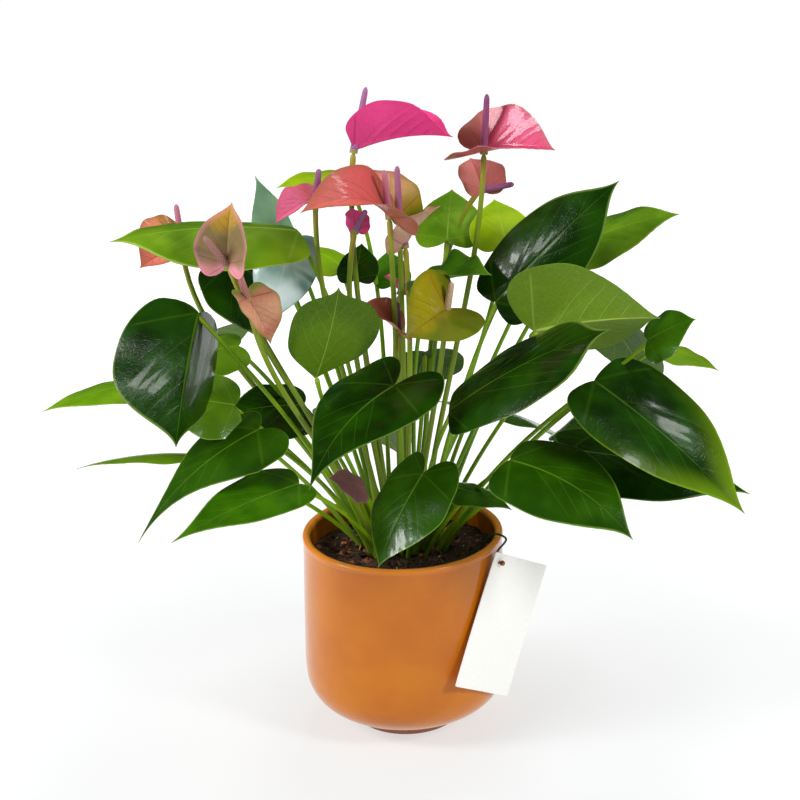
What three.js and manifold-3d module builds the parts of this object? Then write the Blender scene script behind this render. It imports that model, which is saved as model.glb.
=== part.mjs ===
import * as THREE from "three";
import { mergeVertices } from "three/addons/utils/BufferGeometryUtils.js";
import Module from "manifold-3d";

// Potted cavalli anthurium. Millimetres, +Z up, the pot's axis on Z, its foot on z = 0,
// and the side seen in the photograph towards -Y.

const wasm = await Module();
wasm.setup();

// Driving dimensions
const POT_RADIUS = 70;
const POT_BELLY = 1.8;
const POT_HEIGHT = 143;
const POT_WALL = 5;
const POT_FLOOR = 13;
const POT_SHOULDER = 41;
const FOOT_RADIUS = 37;
const FOOT_HEIGHT = 8;
const SOIL_LEVEL = 127;
const CROWN_LEVEL = 116;
const CROWN_THICKNESS = 6;
const CROWN_RADIUS = 32;
const GAP = 0.4;
const TOLERANCE = 0.05;
const LEAF_THICKNESS = 1.1;
const SPATHE_THICKNESS = 1.2;
const LEAF_STALK_RADIUS = 1.7;
const BLOOM_STALK_RADIUS = 2.1;
const TAG_WIDTH = 64;
const TAG_LENGTH = 96.5;
const TAG_THICKNESS = 0.9;
const TAG_AZIMUTH = -42;
const TAG_TURN = 28.5;
const WIRE_RADIUS = 0.8;

// The photograph's own sight line: where the camera stood, its pitch, roll and focal length.
const IMAGE_MIDDLE = 400;
const FOCAL_PIXELS = 2319;
const CAMERA = new THREE.Vector3(1, -1500, 798);
const CAMERA_PITCH = 20.4;
const CAMERA_ROLL = 1.7;

const rad = (degrees) => (degrees * Math.PI) / 180;
const UP = new THREE.Vector3(0, 0, 1);

// A point given as [pixel column, pixel row, depth y in millimetres].
function sight([column, row, depth]) {
  const right = column - IMAGE_MIDDLE;
  const rise = IMAGE_MIDDLE - row;
  const roll = rad(CAMERA_ROLL);
  const across = right * Math.cos(roll) + rise * Math.sin(roll);
  const above = rise * Math.cos(roll) - right * Math.sin(roll);
  const pitch = rad(CAMERA_PITCH);
  const ray = new THREE.Vector3(
    across,
    FOCAL_PIXELS * Math.cos(pitch) + above * Math.sin(pitch),
    above * Math.cos(pitch) - FOCAL_PIXELS * Math.sin(pitch),
  );
  return CAMERA.clone().addScaledVector(ray, (depth - CAMERA.y) / ray.y);
}

// Leaves: heart is where the stalk joins, tip is the drip tip, width is the full width.
// bank turns the upper face towards the viewer, arch bends the midrib down along its length,
// fold and curl raise the [left, right] half, sweep bows the midrib sideways, lobe is the
// share of the length behind the heart, wave is the margin's ripple, drip draws the tip out thin.
const LEAVES = {
  leaf_left_1: {
    heart: [298, 231, -15],
    tip: [109, 242, -75],
    width: 74,
    bank: 16,
    fold: [-8, -14],
    widest: 0.45,
    lobe: 0.02,
    tone: "light",
  },
  leaf_left_2: { heart: [286, 268, 55], tip: [255, 176, 75], width: 40, tone: "dark" },
  leaf_left_3: { heart: [292, 240, 12], tip: [270, 326, -20], width: 46, bank: 15, tone: "dark" },
  leaf_left_4: { heart: [226, 268, 30], tip: [266, 344, 0], width: 54, tone: "dark" },
  leaf_left_5: {
    heart: [199, 313, -60],
    tip: [176, 448, -112],
    width: 104,
    fold: [-85, 5],
    curl: [-10, -10],
    widest: 0.4,
    tone: "dark",
  },
  leaf_left_6: { heart: [168, 380, 15], tip: [42, 412, -25], width: 50, tone: "mid" },
  leaf_left_7: { heart: [238, 346, 0], tip: [165, 366, -15], width: 50, bank: 15, tone: "mid" },
  leaf_left_8: { heart: [234, 405, -50], tip: [150, 399, -60], width: 56, bank: 35, tone: "mid" },
  leaf_left_9: {
    heart: [258, 430, -70],
    tip: [138, 543, -118],
    width: 62,
    bank: 14,
    sweep: 0.06,
    widest: 0.2,
    drip: 0.9,
    tone: "mid",
  },
  leaf_left_10: { heart: [205, 455, 35], tip: [76, 469, 20], width: 44, bank: -15, tone: "light" },
  leaf_left_11: {
    heart: [299, 484, -90],
    tip: [171, 543, -135],
    width: 54,
    bank: 22,
    fold: [25, 0],
    lobe: 0.04,
    drip: 0.3,
    tone: "mid",
  },
  leaf_left_12: { heart: [303, 405, 0], tip: [225, 415, -18], width: 56, bank: 25, tone: "dark" },
  leaf_front_1: {
    heart: [394, 386, -62],
    tip: [309, 490, -125],
    width: 74,
    bank: 14,
    fold: [12, 0],
    sweep: 0.07,
    widest: 0.2,
    lobe: 0.26,
    drip: 0.4,
    tone: "dark",
  },
  leaf_front_2: {
    heart: [315, 378, -60],
    tip: [339, 287, -75],
    width: 64,
    bank: -30,
    arch: -25,
    widest: 0.6,
    lobe: -0.2,
    tone: "light",
  },
  leaf_front_3: {
    heart: [423, 474, -72],
    tip: [378, 568, -106],
    width: 62,
    lobe: 0.22,
    tone: "mid",
  },
  leaf_front_4: { heart: [449, 486, -50], tip: [512, 510, -72], width: 36, tone: "mid" },
  leaf_front_5: { heart: [364, 488, -52], tip: [328, 478, -70], width: 26, bank: 40, tone: "bronze" },
  leaf_right_1: {
    heart: [449, 411, -58],
    tip: [611, 329, -95],
    width: 72,
    bank: 25,
    widest: 0.5,
    lobe: 0,
    tone: "dark",
  },
  leaf_right_2: {
    heart: [510, 460, -75],
    tip: [633, 540, -125],
    width: 66,
    bank: 25,
    sweep: -0.07,
    lobe: 0.03,
    tone: "mid",
  },
  leaf_right_3: {
    heart: [594, 381, -40],
    tip: [745, 514, -95],
    width: 94,
    bank: 24,
    fold: [0, 25],
    lobe: 0.02,
    tone: "dark",
  },
  leaf_right_4: { heart: [570, 450, -25], tip: [750, 494, -45], width: 76, bank: 15, tone: "dark" },
  leaf_right_5: {
    heart: [534, 331, -40],
    tip: [660, 318, -70],
    width: 112,
    bank: -65,
    fold: [40, 8],
    tone: "light",
  },
  leaf_right_6: {
    heart: [496, 302, -30],
    tip: [620, 180, -20],
    width: 60,
    bank: 50,
    widest: 0.36,
    lobe: 0.04,
    tone: "dark",
  },
  leaf_right_7: { heart: [506, 244, 10], tip: [494, 199, 60], width: 46, tone: "young" },
  leaf_right_8: { heart: [447, 240, 25], tip: [452, 189, 80], width: 48, tone: "mid" },
  leaf_right_9: { heart: [578, 245, 25], tip: [680, 214, 0], width: 62, bank: 20, tone: "light" },
  leaf_right_10: { heart: [648, 340, -25], tip: [696, 319, -35], width: 46, bank: 30, tone: "dark" },
  leaf_right_11: { heart: [655, 345, 0], tip: [719, 371, -20], width: 34, tone: "light" },
  leaf_right_12: { heart: [555, 440, 35], tip: [625, 400, 35], width: 60, tone: "mid" },
  leaf_mid_1: {
    heart: [427, 284, -5],
    tip: [492, 275, -40],
    width: 48,
    bank: 12,
    fold: [30, 30],
    wave: 4,
    tone: "mid",
  },
  leaf_mid_2: { heart: [350, 176, 40], tip: [276, 188, 10], width: 36, bank: 10, tone: "young" },
  leaf_mid_3: { heart: [343, 268, 38], tip: [300, 246, 78], width: 40, tone: "young" },
  leaf_mid_4: { heart: [356, 279, 15], tip: [362, 243, 40], width: 30, tone: "dark" },
  leaf_mid_5: { heart: [393, 284, 35], tip: [388, 250, 65], width: 28, tone: "mid" },
  leaf_mid_6: { heart: [425, 352, 20], tip: [415, 398, 55], width: 60, tone: "dark" },
  leaf_back_1: { heart: [470, 405, 90], tip: [560, 440, 165], width: 70, tone: "mid" },
  leaf_back_2: { heart: [590, 300, 80], tip: [655, 400, 150], width: 76, tone: "dark" },
  leaf_back_3: { heart: [540, 260, 90], tip: [600, 310, 160], width: 70, tone: "mid" },
  leaf_back_4: { heart: [350, 410, 90], tip: [400, 455, 165], width: 72, tone: "dark" },
  leaf_back_5: { heart: [215, 330, 70], tip: [150, 400, 140], width: 74, tone: "mid" },
  leaf_back_6: { heart: [270, 250, 80], tip: [200, 290, 140], width: 70, tone: "dark" },
};

// Blooms: joint is where the stalk ends, tip is the spathe's tip, spike is the spadix's tip.
const BLOOMS = {
  bloom_1: {
    joint: [227, 264, -85],
    tip: [232, 202, -75],
    spike: [204, 237, -95],
    width: 42,
    tone: "olive",
  },
  bloom_2: {
    joint: [247, 298, -85],
    tip: [271, 344, -100],
    spike: [239, 272, -88],
    width: 36,
    tone: "coral",
  },
  bloom_3: {
    joint: [182, 246, 20],
    tip: [140, 268, 0],
    spike: [176, 204, 22],
    width: 56,
    bank: 20,
    tone: "coral",
  },
  bloom_4: {
    joint: [316, 198, -20],
    tip: [275, 224, -45],
    spike: [319, 169, -20],
    width: 32,
    bank: 5,
    arch: 30,
  },
  bloom_5: {
    joint: [389, 216, -40],
    tip: [300, 213, -80],
    spike: [384, 170, -42],
    width: 52,
    bank: 25,
    arch: 80,
    tone: "coral",
  },
  bloom_6: {
    joint: [399, 214, -5],
    tip: [366, 168, 20],
    spike: [397, 166, -5],
    width: 40,
    tone: "olive",
  },
  bloom_7: {
    joint: [356, 230, -15],
    tip: [352, 208, -20],
    spike: [366, 210, -18],
    width: 20,
    tone: "magenta",
  },
  bloom_8: {
    joint: [354, 150, 0],
    tip: [453, 137, -20],
    spike: [366, 87, 6],
    width: 58,
    bank: -60,
    arch: 45,
    fold: [80, 5],
    widest: 0.4,
    lobe: 0,
    tone: "magenta",
  },
  bloom_9: {
    joint: [484, 151, 10],
    tip: [555, 150, -20],
    spike: [487, 94, 8],
    width: 58,
    bank: 10,
    fold: [50, 15],
    lobe: 0.4,
  },
  bloom_10: {
    joint: [482, 190, 30],
    tip: [470, 158, 50],
    spike: [514, 184, 20],
    width: 38,
  },
  bloom_11: { joint: [405, 245, -15], tip: [440, 206, -30], spike: [402, 226, -15], width: 36 },
  bloom_12: { joint: [401, 292, 5], tip: [384, 276, 0], spike: [408, 272, 5], width: 24 },
  bloom_13: {
    joint: [398, 330, -30],
    tip: [358, 306, -50],
    spike: [397, 302, -31],
    width: 32,
    bank: 35,
    tone: "coral",
  },
  bloom_14: {
    joint: [447, 309, -50],
    tip: [405, 338, -85],
    spike: [452, 282, -48],
    width: 60,
    bank: 45,
    lobe: 0.35,
    tone: "olive",
  },
};

// Half outline of a heart blade, (across, along): the width's half and the length are 1.
const POINT = [0, 1];
const SINUS = [0, 0];

function bezier(a, b, c, d, t) {
  const s = 1 - t;
  const weigh = (i) => s ** 3 * a[i] + 3 * s * s * t * b[i] + 3 * s * t * t * c[i] + t ** 3 * d[i];
  return [weigh(0), weigh(1)];
}

// A blade with no lobes, whose lobe is below 0, runs straight from its low corner to the heart.
// thin and full are the far curve's handles: drip draws both in towards the midrib.
function halfOutline({ widest, lobe, drip }) {
  const side = [1, widest];
  const low = [0.5, -lobe];
  const knee = lobe < 0 ? [0.7, -1.4 * lobe] : [0.82, -lobe];
  const sinusSteps = lobe < 0 ? [0] : [0, 0.5];
  const thin = [0.12 - 0.07 * drip, 0.82 - 0.2 * drip];
  const full = [0.98 - 0.5 * drip, widest + 0.4 - 0.12 * drip];
  const points = [];
  for (const t of [0, 0.38, 0.7]) {
    points.push(bezier(POINT, thin, full, side, t));
  }
  for (const t of [0, 0.36, 0.7]) {
    points.push(bezier(side, [1, widest - 0.2], knee, low, t));
  }
  for (const t of sinusSteps) {
    points.push(bezier(low, [0.22, -lobe], [0.06, -0.4 * lobe], SINUS, t));
  }
  return points;
}

const SHAPE = {
  bank: 0,
  arch: 22,
  fold: [0, 0],
  curl: [-22, -22],
  sweep: 0,
  widest: 0.28,
  lobe: 0.1,
  wave: 0.8,
  drip: 0,
};

// Frame of a blade: d along the chord, n its upper face, e its right side.
function bladeFrame(from, to, bank) {
  const d = to.clone().sub(from);
  const length = d.length();
  d.normalize();
  const n0 = UP.clone().addScaledVector(d, -UP.dot(d)).normalize();
  const side = new THREE.Vector3().crossVectors(d, n0);
  if (side.y > 0) side.negate();
  const n = n0.multiplyScalar(Math.cos(rad(bank))).addScaledVector(side, Math.sin(rad(bank)));
  const e = new THREE.Vector3().crossVectors(d, n);
  return { d, n, e, length };
}

const MIDRIB_STEPS = 24;

// Midrib in its own plane: it leaves the heart rising by half the arch and ends falling by it.
function midrib(arch) {
  const rows = [[0, 0]];
  const slope = (s) => rad(arch * (0.5 - s));
  for (let i = 0; i < MIDRIB_STEPS; i++) {
    const angle = slope((i + 0.5) / MIDRIB_STEPS);
    const [u, v] = rows[i];
    rows.push([u + Math.cos(angle) / MIDRIB_STEPS, v + Math.sin(angle) / MIDRIB_STEPS]);
  }
  const [endU, endV] = rows[MIDRIB_STEPS];
  const chord = Math.hypot(endU, endV);
  const tilt = Math.atan2(endV, endU);
  const at = (s) => {
    const angle = slope(Math.max(s, 0));
    let u = s * Math.cos(angle);
    let v = s * Math.sin(angle);
    if (s > 0) {
      const i = Math.min(Math.floor(s * MIDRIB_STEPS), MIDRIB_STEPS - 1);
      const f = s * MIDRIB_STEPS - i;
      u = rows[i][0] + f * (rows[i + 1][0] - rows[i][0]);
      v = rows[i][1] + f * (rows[i + 1][1] - rows[i][1]);
    }
    return {
      u: (u * Math.cos(tilt) + v * Math.sin(tilt)) / chord,
      v: (v * Math.cos(tilt) - u * Math.sin(tilt)) / chord,
      angle: angle - tilt,
    };
  };
  return at;
}

const GROW_CENTRE = 0.35;
const WIDE_BLADE = 73;
const WIDE_RINGS = [0.36, 0.7, 1];
const NARROW_RINGS = [0.5, 1];
const WAVES = 2.3;

// Point of a blade at (across, along), raised by lift from its middle surface.
function bladePoint(spec, frame, rib, from, across, along, lift) {
  const half = spec.width / 2;
  const right = across > 0 ? 1 : 0;
  const r = Math.abs(across);
  const fold = rad(spec.fold[right]);
  const curl = rad(spec.curl[right]) || 1e-6;
  const lean = fold + curl * r;
  const out = (half * (Math.sin(lean) - Math.sin(fold))) / curl;
  const rise =
    (half * (Math.cos(fold) - Math.cos(lean))) / curl +
    spec.wave * r * r * Math.sin(2 * Math.PI * WAVES * along + 2 * right + spec.width);
  const { u, v, angle } = rib(along);
  const sign = across < 0 ? -1 : 1;
  const middle = r < 1e-6;
  const tilt = middle ? 0 : sign * lean;
  const x = sign * out - lift * Math.sin(tilt);
  const z = rise + lift * Math.cos(tilt);
  const bow = 4 * spec.sweep * Math.max(along, 0) * (1 - along);
  return from
    .clone()
    .addScaledVector(frame.d, frame.length * u - z * Math.sin(angle))
    .addScaledVector(frame.n, frame.length * v + z * Math.cos(angle))
    .addScaledVector(frame.e, x + frame.length * bow);
}

// Closed blade of even thickness, both faces split into the same triangles. grow widens it about
// GROW_CENTRE and thickens it, for the room that it needs.
function bladeSolid(spec, from, to, thickness, grow = 0) {
  const frame = bladeFrame(from, to, spec.bank);
  const rib = midrib(spec.arch);
  const half = halfOutline(spec);
  const outline = [
    ...half.slice().reverse(),
    ...half.slice(1).map(([across, along]) => [-across, along]),
  ];
  const scale = 1 + (2 * grow) / spec.width;
  const lift = thickness / 2 + grow;
  const shares = spec.width > WIDE_BLADE ? WIDE_RINGS : NARROW_RINGS;
  const corners = [];
  for (const side of [lift, -lift]) {
    corners.push(bladePoint(spec, frame, rib, from, 0, 0, side));
    for (const [across, along] of outline) {
      for (const t of shares) {
        const wide = across * t * scale;
        const long = GROW_CENTRE + (along * t - GROW_CENTRE) * scale;
        corners.push(bladePoint(spec, frame, rib, from, wide, long, side));
      }
    }
  }
  const rings = shares.length;
  const face = 1 + outline.length * rings;
  const at = (spoke, ring) => 1 + spoke * rings + ring;
  const triangles = [];
  for (let i = 0; i + 1 < outline.length; i++) {
    const sector = [[0, at(i, 0), at(i + 1, 0)]];
    for (let j = 0; j + 1 < rings; j++) {
      sector.push([at(i, j), at(i, j + 1), at(i + 1, j + 1)]);
      sector.push([at(i, j), at(i + 1, j + 1), at(i + 1, j)]);
    }
    for (const [a, b, c] of sector) {
      triangles.push(a, b, c, a + face, c + face, b + face);
    }
  }
  const rim = [0];
  for (let j = 0; j < rings; j++) rim.push(at(0, j));
  for (let i = 1; i < outline.length; i++) rim.push(at(i, rings - 1));
  for (let j = rings - 2; j >= 0; j--) rim.push(at(outline.length - 1, j));
  rim.forEach((a, i) => {
    const b = rim[(i + 1) % rim.length];
    triangles.push(a, a + face, b + face, a, b + face, b);
  });
  const geometry = new THREE.BufferGeometry().setFromPoints(corners);
  geometry.setIndex(triangles);
  return solid(geometry);
}

function solid(geometry) {
  const plain = geometry.clone();
  plain.deleteAttribute("normal");
  plain.deleteAttribute("uv");
  const merged = mergeVertices(plain, 1e-4);
  return new wasm.Manifold(
    new wasm.Mesh({
      numProp: 3,
      vertProperties: new Float32Array(merged.attributes.position.array),
      triVerts: new Uint32Array(merged.index.array),
    }),
  );
}

const STALK_SIDES = 4;

function tube(curve, radius, steps, sides) {
  const section = new THREE.Shape();
  for (let i = 0; i < sides; i++) {
    const angle = (2 * Math.PI * i) / sides;
    const x = radius * Math.cos(angle);
    const y = radius * Math.sin(angle);
    if (i === 0) section.moveTo(x, y);
    else section.lineTo(x, y);
  }
  const path = { steps, bevelEnabled: false, extrudePath: curve };
  return solid(new THREE.ExtrudeGeometry(section, path));
}

// Foot of a stalk in the crown, on the side its leaf or bloom leans to.
const ROOT_START = 5;
const ROOT_SPREAD = 0.11;
const ROOT_REACH = 26;
const ROOT_BACK = 5;

function stalkRoot(end) {
  const reach = Math.hypot(end.x, end.y);
  const radius = Math.min(ROOT_START + ROOT_SPREAD * reach, ROOT_REACH);
  const y = ROOT_BACK + (end.y / reach) * radius;
  return new THREE.Vector3((end.x / reach) * radius, y, CROWN_LEVEL);
}

function stalkCurve(end, arrive) {
  const root = stalkRoot(end);
  const reach = root.distanceTo(end);
  const rise = end.clone().sub(root).normalize();
  const early = rise.clone().lerp(UP, STALK_BOW).normalize();
  return new THREE.CubicBezierCurve3(
    root,
    root.clone().addScaledVector(early, 0.4 * reach),
    end.clone().addScaledVector(arrive, -0.3 * reach),
    end,
  );
}

const STALK_STEPS = 5;
const STALK_BOW = 0.35;
const ARRIVE_SHARE = 0.35;
const SEAT_IN = 2;
const SEAT_GAP = 0.42;

// A leaf stalk ends just under the midrib, lower the flatter it lies against the blade.
function leafStalk(spec, from, to) {
  const frame = bladeFrame(from, to, spec.bank);
  const heart = from.clone().addScaledVector(frame.d, SEAT_IN);
  const rise = heart.clone().sub(stalkRoot(heart)).normalize();
  const level = frame.d.clone().setZ(Math.max(frame.d.z, 0));
  const arrive = rise.addScaledVector(level, ARRIVE_SHARE).normalize();
  const slant = Math.sqrt(1 - arrive.dot(frame.n) ** 2);
  const below = LEAF_THICKNESS / 2 + SEAT_GAP + LEAF_STALK_RADIUS * slant;
  const seat = SEAT_IN / frame.length;
  const end = bladePoint(spec, frame, midrib(spec.arch), from, 0, seat, -below);
  return stalkCurve(end, arrive);
}

const SPADIX_RADIUS = 2.7;
const SPADIX_RINGS = 4;
const SPADIX_SIDES = 6;
const FLORET_RELIEF = 0.3;
const SPADIX_TAPER = 0.35;
const SPADIX_CAP = 2;
const SPADIX_ROOT = 2;

// Spadix: a tapering spike whose florets stand out ring by ring.
function spadix(from, to) {
  const axis = to.clone().sub(from);
  const length = axis.length() + SPADIX_ROOT;
  const profile = [new THREE.Vector2(0, 0)];
  for (let i = 0; i <= SPADIX_RINGS; i++) {
    const t = i / SPADIX_RINGS;
    const taper = SPADIX_RADIUS * (1 - SPADIX_TAPER * t);
    const relief = i % 2 === 1 ? FLORET_RELIEF : -FLORET_RELIEF;
    profile.push(new THREE.Vector2(taper + relief, t * (length - SPADIX_CAP)));
  }
  profile.push(new THREE.Vector2(0, length));
  const geometry = new THREE.LatheGeometry(profile, SPADIX_SIDES);
  const turn = new THREE.Quaternion().setFromUnitVectors(
    new THREE.Vector3(0, 1, 0),
    axis.normalize(),
  );
  geometry.applyQuaternion(turn);
  const start = from.clone().addScaledVector(axis, -SPADIX_ROOT);
  geometry.translate(start.x, start.y, start.z);
  return solid(geometry);
}

const SPATHE = {
  bank: 0,
  arch: 25,
  fold: [20, 20],
  curl: [15, 15],
  sweep: 0,
  widest: 0.28,
  lobe: 0.2,
  wave: 1,
  drip: 0,
};

const LATHE_SIDES = 32;

function lathe(profile, sides) {
  const points = profile.map(([r, z]) => new THREE.Vector2(r, z));
  return new THREE.LatheGeometry(points, sides).rotateX(Math.PI / 2);
}

// Half section from the foot's middle, up the outside, over the rim and down the inside.
function pot() {
  const inner = POT_RADIUS - POT_WALL;
  const belly = POT_RADIUS + POT_BELLY;
  return lathe(
    [
      [0, 0],
      [FOOT_RADIUS, 0],
      [FOOT_RADIUS + 0.6, FOOT_HEIGHT],
      [47, FOOT_HEIGHT + 2.2],
      [58, FOOT_HEIGHT + 7],
      [66, FOOT_HEIGHT + 14.5],
      [70.4, FOOT_HEIGHT + 23.5],
      [belly, POT_SHOULDER],
      [belly - 0.2, POT_SHOULDER + 30],
      [POT_RADIUS, POT_HEIGHT - 5],
      [POT_RADIUS + 0.7, POT_HEIGHT - 3.6],
      [POT_RADIUS + 0.3, POT_HEIGHT - 1.2],
      [POT_RADIUS - 1.6, POT_HEIGHT],
      [inner + 1.2, POT_HEIGHT - 0.6],
      [inner, POT_HEIGHT - 2.6],
      [inner, POT_SHOULDER],
      [inner - 2, POT_SHOULDER - 14],
      [inner - 12, POT_FLOOR + 5],
      [inner - 28, POT_FLOOR],
      [0, POT_FLOOR],
    ],
    LATHE_SIDES,
  );
}

const SOIL_SIDES = 20;
const SOIL_RELIEF = 1.1;

function soilHeight(x, y) {
  const bumps = Math.sin(0.31 * x + 1.3) * Math.cos(0.27 * y) + 0.6 * Math.sin(0.17 * (x - y));
  return SOIL_LEVEL - 0.03 * y + SOIL_RELIEF * bumps;
}

function soil() {
  const inner = POT_RADIUS - POT_WALL - GAP;
  const geometry = lathe(
    [
      [0, POT_FLOOR + GAP],
      [inner - 28, POT_FLOOR + GAP],
      [inner - 2.2, POT_SHOULDER - 14],
      [inner, POT_SHOULDER],
      [inner, SOIL_LEVEL],
      [inner - 20, SOIL_LEVEL],
      [inner - 42, SOIL_LEVEL],
      [0, SOIL_LEVEL],
    ],
    SOIL_SIDES,
  );
  const place = geometry.attributes.position;
  for (let i = 0; i < place.count; i++) {
    if (place.getZ(i) > SOIL_LEVEL - 1) place.setZ(i, soilHeight(place.getX(i), place.getY(i)));
  }
  return solid(geometry);
}

const CROWN_SIDES = 16;

function crown(grow) {
  const radius = CROWN_RADIUS + grow;
  const half = CROWN_THICKNESS / 2 + grow;
  return solid(
    lathe(
      [
        [0, -half],
        [radius, -half],
        [radius, half],
        [0, half],
      ],
      CROWN_SIDES,
    ).translate(0, 0, CROWN_LEVEL),
  );
}

// Card: its hole hangs on the wire, and it is turned in its own upright plane.
const TAG_HOLE = new THREE.Vector3(66.2, -37.9, 132.6);
const TAG_HOLE_IN = 7.2;
const TAG_HOLE_DOWN = 6.2;
const TAG_HOLE_RADIUS = 1.5;
const TAG_HOLE_SIDES = 16;

function tagFrame() {
  const azimuth = rad(TAG_AZIMUTH);
  const out = new THREE.Vector3(Math.cos(azimuth), Math.sin(azimuth), 0);
  const level = new THREE.Vector3(-out.y, out.x, 0);
  const turn = rad(TAG_TURN);
  const across = level.clone().multiplyScalar(Math.cos(turn)).addScaledVector(UP, -Math.sin(turn));
  const upright = new THREE.Vector3().crossVectors(out, across);
  return { out, across, upright };
}

function tagCard() {
  const { out, across, upright } = tagFrame();
  const card = new THREE.BoxGeometry(TAG_WIDTH, TAG_LENGTH, TAG_THICKNESS);
  card.translate(TAG_WIDTH / 2 - TAG_HOLE_IN, TAG_HOLE_DOWN - TAG_LENGTH / 2, 0);
  const through = 4 * TAG_THICKNESS;
  const hole = new THREE.CylinderGeometry(TAG_HOLE_RADIUS, TAG_HOLE_RADIUS, through, TAG_HOLE_SIDES);
  hole.rotateX(Math.PI / 2);
  const place = new THREE.Matrix4().makeBasis(across, upright, out).setPosition(TAG_HOLE);
  return solid(card.applyMatrix4(place)).subtract(solid(hole.applyMatrix4(place)));
}

const KNOB_RADIUS = 1.9;
const KNOB_REACH = 0.9;
const WIRE_BEHIND = 2;
const WIRE_DROP = 6.5;

// Wire: up out of the soil, over the rim and down to the card's hole, where a knob ends it.
function tagWire(grow) {
  const { out } = tagFrame();
  const through = TAG_HOLE.clone().addScaledVector(out, KNOB_RADIUS + KNOB_REACH);
  const behind = TAG_HOLE.clone().addScaledVector(out, -WIRE_BEHIND);
  const above = behind.clone().addScaledVector(UP, WIRE_DROP);
  const path = new THREE.CatmullRomCurve3(
    [
      new THREE.Vector3(41, -17, SOIL_LEVEL - 5),
      new THREE.Vector3(44, -15, SOIL_LEVEL + 1),
      new THREE.Vector3(53, -15, SOIL_LEVEL + 6),
      new THREE.Vector3(60.5, -16.5, POT_HEIGHT - 0.5),
      new THREE.Vector3(66, -19.5, POT_HEIGHT + 2.6),
      new THREE.Vector3(71.8, -24, POT_HEIGHT + 0.8),
      above,
      behind,
      through,
    ],
    false,
    "centripetal",
  );
  const wire = tube(path, WIRE_RADIUS + grow, 16, 5);
  const knob = new THREE.SphereGeometry(KNOB_RADIUS, 7, 4);
  knob.translate(through.x, through.y, through.z);
  return wire.add(solid(knob));
}

// Clearance: what another piece already fills is kept free, and loose scraps are dropped.
function apart(a, b) {
  const p = a.boundingBox();
  const q = b.boundingBox();
  return [0, 1, 2].some((i) => p.max[i] < q.min[i] || q.max[i] < p.min[i]);
}

function largest(body) {
  return body
    .simplify(TOLERANCE).decompose().reduce((best, piece) => (piece.volume() > best.volume() ? piece : best));
}

function clearOf(body, others) {
  const near = others.filter((other) => !apart(body, other));
  return largest(near.reduce((left, other) => left.subtract(other), body));
}

const PAINT = {
  pot: { color: 0xc4742e, roughness: 0.24 },
  soil: { color: 0x2c1f18, roughness: 0.95 },
  card: { color: 0xf4f1ea, roughness: 0.7 },
  wire: { color: 0x24402c, roughness: 0.45 },
  stalk: { color: 0x7fa03a, roughness: 0.5 },
  dark: { color: 0x1d4a22, roughness: 0.3 },
  mid: { color: 0x2f6a2a, roughness: 0.32 },
  light: { color: 0x5d9138, roughness: 0.4 },
  young: { color: 0x9fbf2c, roughness: 0.42 },
  bronze: { color: 0x7a5560, roughness: 0.4 },
  pink: { color: 0xc65f78, roughness: 0.38 },
  magenta: { color: 0xc73c86, roughness: 0.36 },
  coral: { color: 0xc8705e, roughness: 0.4 },
  olive: { color: 0xa8a63a, roughness: 0.4 },
};

const plant = new THREE.Group();

function addNode(name, body, paint) {
  const mesh = body.getMesh();
  const geometry = new THREE.BufferGeometry();
  geometry.setAttribute("position", new THREE.BufferAttribute(mesh.vertProperties, 3));
  geometry.setIndex(new THREE.BufferAttribute(mesh.triVerts, 1));
  const material = new THREE.MeshStandardMaterial({ ...PAINT[paint], metalness: 0 });
  const node = new THREE.Mesh(geometry, material);
  node.name = name;
  plant.add(node);
}

const stalks = [];
const grownStalks = [];
const heads = [];

function addStalk(curve, radius) {
  stalks.push(tube(curve, radius, STALK_STEPS, STALK_SIDES));
  grownStalks.push(tube(curve, radius + GAP, STALK_STEPS, STALK_SIDES));
}

for (const [name, own] of Object.entries(BLOOMS)) {
  const spec = { ...SPATHE, ...own };
  const joint = sight(own.joint);
  const tip = sight(own.tip);
  const spike = sight(own.spike);
  const along = spike.clone().sub(joint).normalize();
  const end = joint.clone().addScaledVector(along, -(SPADIX_ROOT + SEAT_GAP));
  const arrive = along.clone().lerp(UP, 0.5).normalize();
  addStalk(stalkCurve(end, arrive), BLOOM_STALK_RADIUS);
  const rod = spadix(joint, spike);
  const body = bladeSolid(spec, joint, tip, SPATHE_THICKNESS).add(rod);
  const grown = bladeSolid(spec, joint, tip, SPATHE_THICKNESS, GAP).add(rod);
  heads.push({ name, body, grown, paint: own.tone ?? "pink" });
}

for (const [name, own] of Object.entries(LEAVES)) {
  const spec = { ...SHAPE, ...own };
  const heart = sight(own.heart);
  const tip = sight(own.tip);
  addStalk(leafStalk(spec, heart, tip), LEAF_STALK_RADIUS);
  const body = bladeSolid(spec, heart, tip, LEAF_THICKNESS);
  const grown = bladeSolid(spec, heart, tip, LEAF_THICKNESS, GAP);
  heads.push({ name, body, grown, paint: own.tone });
}

addNode("pot", solid(pot()), "pot");
const wireGrown = tagWire(GAP);
const underground = wasm.Manifold.union([crown(GAP), wireGrown, ...grownStalks]);
addNode("soil", largest(soil().subtract(underground)), "soil");
addNode("tag_card", tagCard(), "card");
addNode("tag_wire", tagWire(0), "wire");
addNode("stems", largest(wasm.Manifold.union([crown(0), ...stalks])), "stalk");
heads.forEach(({ name, body, paint }, i) => {
  const taken = [...grownStalks, wireGrown, ...heads.slice(0, i).map((head) => head.grown)];
  addNode(name, clearOf(body, taken), paint);
});

export default plant;
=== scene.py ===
"""Potted anthurium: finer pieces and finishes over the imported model's frame, in metres."""
import logging
import math
from dataclasses import dataclass, replace
from enum import Enum

import bpy
import numpy as np
from mathutils import Matrix, Vector


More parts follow.
